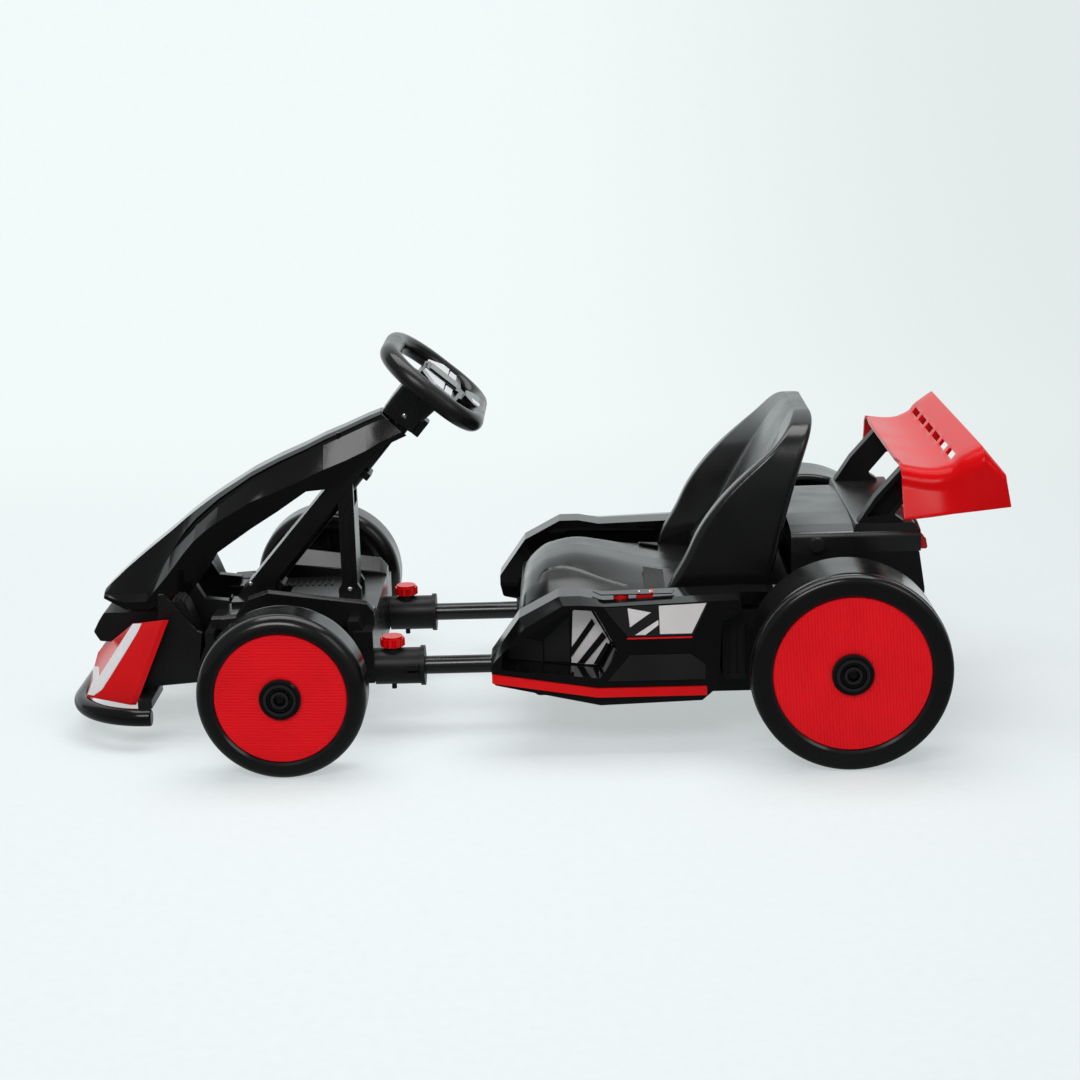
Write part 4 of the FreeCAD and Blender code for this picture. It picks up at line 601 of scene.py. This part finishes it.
FOOT_PLATE = [(447.0, 107.0), (458.5, 112.0), (462.5, 134.0), (472.0, 157.0), (479.0, 174.0),
              (482.0, 186.0), (479.0, 193.5), (471.0, 196.0), (463.0, 192.0), (456.0, 176.0),
              (449.5, 158.0), (443.5, 140.0)]
FOOT_TREADS = [(449.0, 148.0), (454.0, 162.0), (459.0, 176.0)]
FOOT_INNER, FOOT_OUTER = 101.0, 145.0
TREAD_INNER, TREAD_OUTER = 106.0, 140.0
for hand, side in SIDES:
    plate = side_plate("foot_plate_" + hand, FOOT_PLATE, side, FOOT_INNER, FOOT_OUTER, satin_black,
                       "front_section", 3.6)
    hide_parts("foot_rest_" + hand)
    form = bmesh.new()
    for x, z in FOOT_TREADS:
        outline = [(x - 2.2, z), (x + 6.0, z - 3.0), (x + 8.0, z), (x - 1.2, z + 3.0)]
        add_prism(form, [at(a, TREAD_INNER * side, b) for a, b in outline],
                  [at(a, TREAD_OUTER * side, b) for a, b in outline])
    finished("foot_treads_" + hand, form, textured_black, "front_section", 0.6)


# Seat cushion: a smooth crowned skin over the seat's cushion, with the moulded line on each thigh

CUSHION = [
    # x, height above the tub of the crown, of its shoulder and of the side edge, half width
    (5.0, 14.0, 11.0, 6.0, 96.0), (1.0, 30.0, 24.0, 12.0, 112.0), (-12.0, 49.0, 38.0, 20.0, 126.0),
    (-34.0, 64.0, 48.0, 27.0, 136.0), (-71.0, 71.0, 51.0, 31.0, 142.0),
    (-110.0, 65.0, 48.0, 32.0, 146.0), (-150.0, 55.0, 44.0, 32.0, 150.0),
    (-226.0, 40.0, 36.0, 30.0, 152.0), (-262.0, 36.0, 33.0, 28.0, 152.0),
]
THIGH_LINE = [(-21.5, 95.0), (-22.5, 84.0), (-27.0, 78.0), (-36.0, 76.0), (-51.7, 79.5),
              (-81.4, 94.5), (-113.0, 110.5), (-140.0, 123.0)]
TUB_TOP = 150.0
ACROSS_SHARES = [0.0, 0.3, 0.72, 1.0]
CROWN_DROP = 1.0
SKIN_LIFT = 1.5
SKIN_OVERLAP = 1.4
SKIRT_GAP = 0.4
EDGE_WIDTH = 6.0
EDGE_DROP = 3.0
GROOVE_HALF = 2.2
GROOVE_DEPTH = 1.3
CUSHION_FRONT = 5.6
CUSHION_STEP = 2.2
CUSHION_LOOPS = 122
CUSHION_COLUMNS = 150
FAR_AWAY = 99.0


def smooth_through(knots, values, place):
    """A smooth curve through values at their knots, without overshoot between them."""
    last = len(knots) - 2
    k = 0
    while k < last and place > knots[k + 1]:
        k += 1
    step = knots[k + 1] - knots[k]
    share = min(max((place - knots[k]) / step, 0.0), 1.0)
    rise = (values[k + 1] - values[k]) / step
    slopes = []
    for m in (k, k + 1):
        if m == 0 or m == len(knots) - 1:
            slopes.append(rise)
            continue
        before = (values[m] - values[m - 1]) / (knots[m] - knots[m - 1])
        after = (values[m + 1] - values[m]) / (knots[m + 1] - knots[m])
        slopes.append(0.0 if before * after <= 0.0 else 2.0 * before * after / (before + after))
    s2, s3 = share * share, share ** 3
    return (values[k] * (2.0 * s3 - 3.0 * s2 + 1.0) + slopes[0] * step * (s3 - 2.0 * s2 + share)
            + values[k + 1] * (3.0 * s2 - 2.0 * s3) + slopes[1] * step * (s3 - s2))


ROWS = CUSHION[::-1]
ROW_X = [row[0] for row in ROWS]


def cushion_section(x):
    """Crown, shoulder, edge and half width at a place along the kart."""
    return [smooth_through(ROW_X, [row[k] for row in ROWS], x) for k in (1, 2, 3, 4)]


def cushion_height(x, y):
    """Height of the cushion over the floor at a place."""
    crown, shoulder, edge, half = cushion_section(x)
    share = min(abs(y) / half, 1.0)
    heights = [crown, crown - CROWN_DROP, shoulder, edge]
    return TUB_TOP + smooth_through(ACROSS_SHARES, heights, share)


def line_distance(x, y, line):
    """Distance of a place from a line of points."""
    near = FAR_AWAY
    for a, b in zip(line, line[1:]):
        run = (b[0] - a[0], b[1] - a[1])
        share = ((x - a[0]) * run[0] + (y - a[1]) * run[1]) / (run[0] ** 2 + run[1] ** 2)
        share = min(max(share, 0.0), 1.0)
        near = min(near, math.hypot(x - a[0] - share * run[0], y - a[1] - share * run[1]))
    return near


def seat_cushion():
    """Crowned skin with rolled side edges, a skirt down to the tub and the thigh lines."""
    form = bmesh.new()
    loops = []
    for i in range(CUSHION_LOOPS):
        x = CUSHION_FRONT - CUSHION_STEP * i
        half = cushion_section(x)[3]
        skirt = half + SKIN_OVERLAP
        loop = [form.verts.new(at(x, -skirt, TUB_TOP + SKIRT_GAP))]
        for k in range(CUSHION_COLUMNS + 1):
            y = (2.0 * k / CUSHION_COLUMNS - 1.0) * half
            z = cushion_height(x, y) + SKIN_LIFT
            past = abs(y) - half + EDGE_WIDTH
            if past > 0.0:
                z -= EDGE_DROP * (past / EDGE_WIDTH) ** 2
            near = line_distance(x, abs(y), THIGH_LINE)
            if near < GROOVE_HALF:
                z -= GROOVE_DEPTH * (1.0 - (near / GROOVE_HALF) ** 2)
            loop.append(form.verts.new(at(x, y * (1.0 + SKIN_OVERLAP / half), z)))
        loop.append(form.verts.new(at(x, skirt, TUB_TOP + SKIRT_GAP)))
        loops.append(loop)
    add_tube(form, loops)
    finished("seat_cushion", form, seat_black, "rear_section")


seat_cushion()


# Lap belt: two webbing straps that lie outwards over the cushion's shoulders

BELT_HALF = 14.0
BELT_MIDDLE = -178.0
BELT_PATH = [
    # distance from the middle, height over the cushion
    (70.0, 5.0), (80.0, 3.4), (92.0, 2.2), (106.0, 2.0), (120.0, 2.0), (134.0, 2.0), (145.0, 2.2),
]
BELT_SECTION = [
    # along the kart, height: flat webbing with its edges folded in
    (-BELT_HALF, 0.5), (1.0 - BELT_HALF, 0.1), (BELT_HALF - 1.0, 0.1), (BELT_HALF, 0.5),
    (BELT_HALF, 1.3), (BELT_HALF - 1.0, 1.7), (1.0 - BELT_HALF, 1.7), (-BELT_HALF, 1.3),
]


def lap_strap(hand, side):
    """One strap along its path over the cushion."""
    form = bmesh.new()
    loops = []
    for y, lift in BELT_PATH:
        loop = []
        for along, rise in BELT_SECTION:
            x = BELT_MIDDLE + along
            loop.append(form.verts.new(at(x, y * side, cushion_height(x, y) + lift + rise)))
        loops.append(loop)
    add_tube(form, loops)
    strap = finished("lap_strap_" + hand, form, webbing, "rear_section")
    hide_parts("belt_" + hand)


for hand, side in SIDES:
    lap_strap(hand, side)


# Wing: one smooth skin, slotted ahead of the flap

FLAP_EDGE = -605.0
SLOT_X = -571.0
WING_X = [-503.0, -505.0, -509.0, -516.0, -524.0, -533.0, -542.0, -551.0, -559.0, -566.0, SLOT_X,
          -576.5, -581.0, -588.0, -596.0, -602.0, FLAP_EDGE]
FLAP_TOP = 392.0
TOP_KNOTS = [FLAP_EDGE, -588.0, -576.5, SLOT_X, -560.0, -545.0, -530.0, -515.0, -503.0]
TOP_VALUES = [FLAP_TOP, 382.0, 374.5, 367.5, 362.5, 358.8, 359.4, 361.8, 364.0]
WIDTH_KNOTS = [-642.0, FLAP_EDGE, -552.0, -503.0]
TOP_HALF = [236.0, 228.0, 208.0, 195.0]
LOW_HALF = [226.0, 225.0, 221.0, 218.0]
LOW_Z = [313.0, 309.0, 303.0, 298.0]
SLOT_EDGES = [-172.0, -128.0, -112.0, -68.0, -52.0, -8.0, 8.0, 52.0, 68.0, 112.0, 128.0, 172.0]
PLATE_STEPS = 8
PLATE_BEND = 24.0
PLATE_REAR = [
    # x and height of the end plates' sloping rear edge
    (-612.0, 383.4), (-619.0, 374.5), (-626.0, 366.0), (-634.0, 356.0), (-637.5, 335.0),
    (-641.0, 315.0),
]
WING_THICKNESS = 0.005
WING_EDGE = 0.0008


def plate_reach(x):
    """Half widths of the wing at its top and at the plates' feet, and the height of the feet."""
    return [smooth_through(WIDTH_KNOTS, values, x) for values in (TOP_HALF, LOW_HALF, LOW_Z)]


def plate_section(x):
    """Places up the left end plate and round its bend, at one section of the wing."""
    top = smooth_through(TOP_KNOTS, TOP_VALUES, x)
    wide, foot, low = plate_reach(x)
    places = []
    for k in range(PLATE_STEPS + 1):
        share = k / PLATE_STEPS
        places.append((foot + (wide - foot) * share, low + (top - PLATE_BEND - low) * share))
    for k in range(1, PLATE_STEPS):
        angle = math.pi / 2.0 * k / PLATE_STEPS
        places.append((wide - PLATE_BEND + PLATE_BEND * math.cos(angle),
                       top - PLATE_BEND + PLATE_BEND * math.sin(angle)))
    return places + [(wide - PLATE_BEND, top)]


def rear_plate(form, edge, side):
    """The end plate behind the flap, from its edge to the sloping rear edge."""
    foot_z = smooth_through(WIDTH_KNOTS, LOW_Z, FLAP_EDGE)
    rise = FLAP_TOP - foot_z
    flap_half = smooth_through(WIDTH_KNOTS, TOP_HALF, FLAP_EDGE)
    for x, top in PLATE_REAR:
        wide, foot, low = plate_reach(x)
        fade = (top - low) / rise
        row = []
        for y, z in plate_section(FLAP_EDGE):
            share = (z - foot_z) / rise
            lean = (flap_half - y) * share
            outer = foot + (wide - foot) * share * fade
            row.append(form.verts.new(at(x, (outer - lean * fade) * side,
                                         low + (top - low) * share)))
        for a, b, c, d in zip(edge, edge[1:], row[1:], row):
            form.faces.new((a, b, c, d))
        edge = row


def wing_skin():
    """Sections from plate to plate over the top, left open at the slots."""
    form = bmesh.new()
    loops = []
    for x in WING_X:
        left = plate_section(x)
        top = left[-1][1]
        places = left + [(y, top) for y in SLOT_EDGES[::-1]] + [(-y, z) for y, z in reversed(left)]
        loops.append([form.verts.new(at(x, y, z)) for y, z in places])
    bend_end = len(plate_section(FLAP_EDGE))
    for x, a, b in zip(WING_X, loops, loops[1:]):
        for k in range(len(a) - 1):
            gap = k - bend_end
            if x == SLOT_X and 0 <= gap < len(SLOT_EDGES) and gap % 2 == 0:
                continue
            form.faces.new((a[k], a[k + 1], b[k + 1], b[k]))
    rear_plate(form, loops[-1][:bend_end], 1.0)
    rear_plate(form, loops[-1][::-1][:bend_end], -1.0)
    item = finished("wing_skin", form, wing_red, "rear_section")
    thick = item.modifiers.new("thickness", "SOLIDIFY")
    thick.thickness = WING_THICKNESS
    thick.offset = -1.0
    soften = item.modifiers.new("soft_edges", "BEVEL")
    soften.width = WING_EDGE
    soften.segments = 2
    soften.limit_method = "ANGLE"
    soften.angle_limit = math.radians(50.0)
    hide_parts("wing")


wing_skin()


# Camera, from the photograph

FOCAL_PIXELS = 2229.4
PHOTO_PIXELS = 1080.0
SENSOR = 36.0
CAMERA_SPOT = (-0.07275, 3.066, 0.976)
pitch = math.radians(13.68)
turn = -0.0181
roll = -0.0294
ahead = Vector((-math.sin(turn) * math.cos(pitch), -math.cos(turn) * math.cos(pitch),
                -math.sin(pitch)))
across = Vector((-math.cos(turn), math.sin(turn), 0.0)).normalized()
above = across.cross(ahead)
right = math.cos(roll) * across + math.sin(roll) * above
upward = -math.sin(roll) * across + math.cos(roll) * above
lens = bpy.data.cameras.new("photo_camera")
lens.sensor_width = SENSOR
lens.lens = SENSOR * FOCAL_PIXELS / PHOTO_PIXELS
camera = bpy.data.objects.new("photo_camera", lens)
camera.matrix_world = Matrix((
    (right.x, upward.x, -ahead.x, CAMERA_SPOT[0]),
    (right.y, upward.y, -ahead.y, CAMERA_SPOT[1]),
    (right.z, upward.z, -ahead.z, CAMERA_SPOT[2]),
    (0.0, 0.0, 0.0, 1.0)))
bpy.context.scene.collection.objects.link(camera)
bpy.context.scene.camera = camera


# Studio: pale sweep, soft light

def sweep_material():
    """Pale felted paper: seen directly it is lifted towards white, more so further back, with a
    painted shade towards one side; glossy rays see a painted reflection of it, white behind the
    kart and dark in front."""
    material = bpy.data.materials.new("studio_paper")
    material.use_nodes = True
    tree = material.node_tree
    shader = tree.nodes["Principled BSDF"]
    shader.inputs["Roughness"].default_value = 0.9
    shader.inputs["Specular IOR Level"].default_value = 0.1
    place = node(tree, "ShaderNodeTexCoord")
    fibre = node(tree, "ShaderNodeTexNoise",
                 {"Vector": place.outputs["Object"], "Scale": 70.0, "Detail": 6.0})
    colour = node(tree, "ShaderNodeMix", {"Factor": fibre.outputs["Fac"]}, data_type="RGBA")
    colour.inputs["A"].default_value = (0.70, 0.755, 0.775, 1.0)
    colour.inputs["B"].default_value = (0.77, 0.81, 0.82, 1.0)
    tree.links.new(colour.outputs["Result"], shader.inputs["Base Color"])
    relief = node(tree, "ShaderNodeBump",
                  {"Height": fibre.outputs["Fac"], "Strength": 0.25, "Distance": 0.002})
    tree.links.new(relief.outputs["Normal"], shader.inputs["Normal"])
    pale = node(tree, "ShaderNodeEmission", {"Strength": 1.0})
    lift = node(tree, "ShaderNodeMix", {"Factor": fibre.outputs["Fac"]}, data_type="RGBA")
    lift.inputs["A"].default_value = (0.86, 0.94, 0.945, 1.0)
    lift.inputs["B"].default_value = (0.92, 0.97, 0.97, 1.0)
    tree.links.new(lift.outputs["Result"], pale.inputs["Color"])
    parts = node(tree, "ShaderNodeSeparateXYZ", {"Vector": place.outputs["Object"]})
    back = node(tree, "ShaderNodeMapRange",
                {"Value": parts.outputs["Y"], "From Min": 0.6, "From Max": -2.2,
                 "To Min": 0.5, "To Max": 1.0}, interpolation_type="SMOOTHSTEP")
    seen = node(tree, "ShaderNodeLightPath")
    direct = node(tree, "ShaderNodeMath",
                  {0: back.outputs["Result"], 1: seen.outputs["Is Camera Ray"]},
                  operation="MULTIPLY")
    share = node(tree, "ShaderNodeMath",
                 {0: direct.outputs["Value"], 1: seen.outputs["Is Glossy Ray"]},
                 operation="MAXIMUM")
    # Painted reflection: the paper's glow as glossy rays see it, dark in front of the kart and
    # white behind.
    wall = node(tree, "ShaderNodeMapRange",
                {"Value": parts.outputs["Y"], "From Min": 0.8, "From Max": -1.2,
                 "To Min": 0.12, "To Max": 1.0}, interpolation_type="SMOOTHSTEP")
    # Painted shade: the paper seen directly grows darker towards negative x.
    side = node(tree, "ShaderNodeMapRange",
                {"Value": parts.outputs["X"], "From Min": -1.7, "From Max": 0.3,
                 "To Min": 0.86, "To Max": 1.0}, interpolation_type="SMOOTHSTEP")
    # Glow strength of the paper: the painted side shade for direct views, the painted reflection
    # level for glossy rays.
    painted_paper_strength = node(tree, "ShaderNodeMix", {"Factor": seen.outputs["Is Glossy Ray"],
                                            "A": side.outputs["Result"],
                                            "B": wall.outputs["Result"]})
    tree.links.new(painted_paper_strength.outputs["Result"], pale.inputs["Strength"])
    both = node(tree, "ShaderNodeMixShader", {0: share.outputs["Value"]})
    tree.links.new(shader.outputs["BSDF"], both.inputs[1])
    tree.links.new(pale.outputs["Emission"], both.inputs[2])
    tree.links.new(both.outputs["Shader"], tree.nodes["Material Output"].inputs["Surface"])
    return material


FLOOR_FRONT = 8.0
FLOOR_BACK = -3.0
FLOOR_HALF = 9.0
WALL_TOP = 7.0
CURVE_RADIUS = 2.0
CURVE_STEPS = 12


def studio_sweep():
    """Floor that curves up into the wall behind the kart."""
    mesh = bpy.data.meshes.new("studio_floor")
    form = bmesh.new()
    rows = []
    curve = [(FLOOR_FRONT, 0.0), (FLOOR_BACK, 0.0)]
    for i in range(1, CURVE_STEPS + 1):
        angle = math.pi / 2.0 * i / CURVE_STEPS
        curve.append((FLOOR_BACK - CURVE_RADIUS * math.sin(angle),
                      CURVE_RADIUS - CURVE_RADIUS * math.cos(angle)))
    curve.append((FLOOR_BACK - CURVE_RADIUS, WALL_TOP))
    for y, z in curve:
        rows.append([form.verts.new((x, y, z)) for x in (-FLOOR_HALF, FLOOR_HALF)])
    for a, b in zip(rows, rows[1:]):
        form.faces.new((a[0], a[1], b[1], b[0]))
    form.normal_update()
    form.to_mesh(mesh)
    form.free()
    for face in mesh.polygons:
        face.use_smooth = True
    floor = bpy.data.objects.new("studio_floor", mesh)
    floor.data.materials.append(sweep_material())
    bpy.context.scene.collection.objects.link(floor)


def lamp(name, spot, target, wide, high, power):
    """A soft rectangular lamp, aimed at a place."""
    light = bpy.data.lights.new(name, "AREA")
    light.shape = "RECTANGLE"
    light.size = wide
    light.size_y = high
    light.energy = power
    item = bpy.data.objects.new(name, light)
    item.location = spot
    aim = Vector(target) - Vector(spot)
    item.rotation_euler = aim.to_track_quat("-Z", "Y").to_euler()
    bpy.context.scene.collection.objects.link(item)


studio_sweep()
lamp("overhead", (0.0, -0.3, 2.7), (0.0, 0.0, 0.2), 3.0, 1.6, 62.0)
lamp("front_fill", (1.0, 3.8, 3.2), (0.0, 0.0, 0.15), 2.6, 1.4, 92.0)
lamp("rear_fill", (-2.6, 2.4, 2.4), (0.0, 0.0, 0.2), 1.6, 1.6, 18.0)
world = bpy.data.worlds.new("studio_air")
bpy.context.scene.world = world
world.use_nodes = True
air = world.node_tree.nodes["Background"]
air.inputs["Color"].default_value = (0.88, 0.93, 0.95, 1.0)
air.inputs["Strength"].default_value = 0.28
bpy.context.scene.view_settings.view_transform = "Standard"
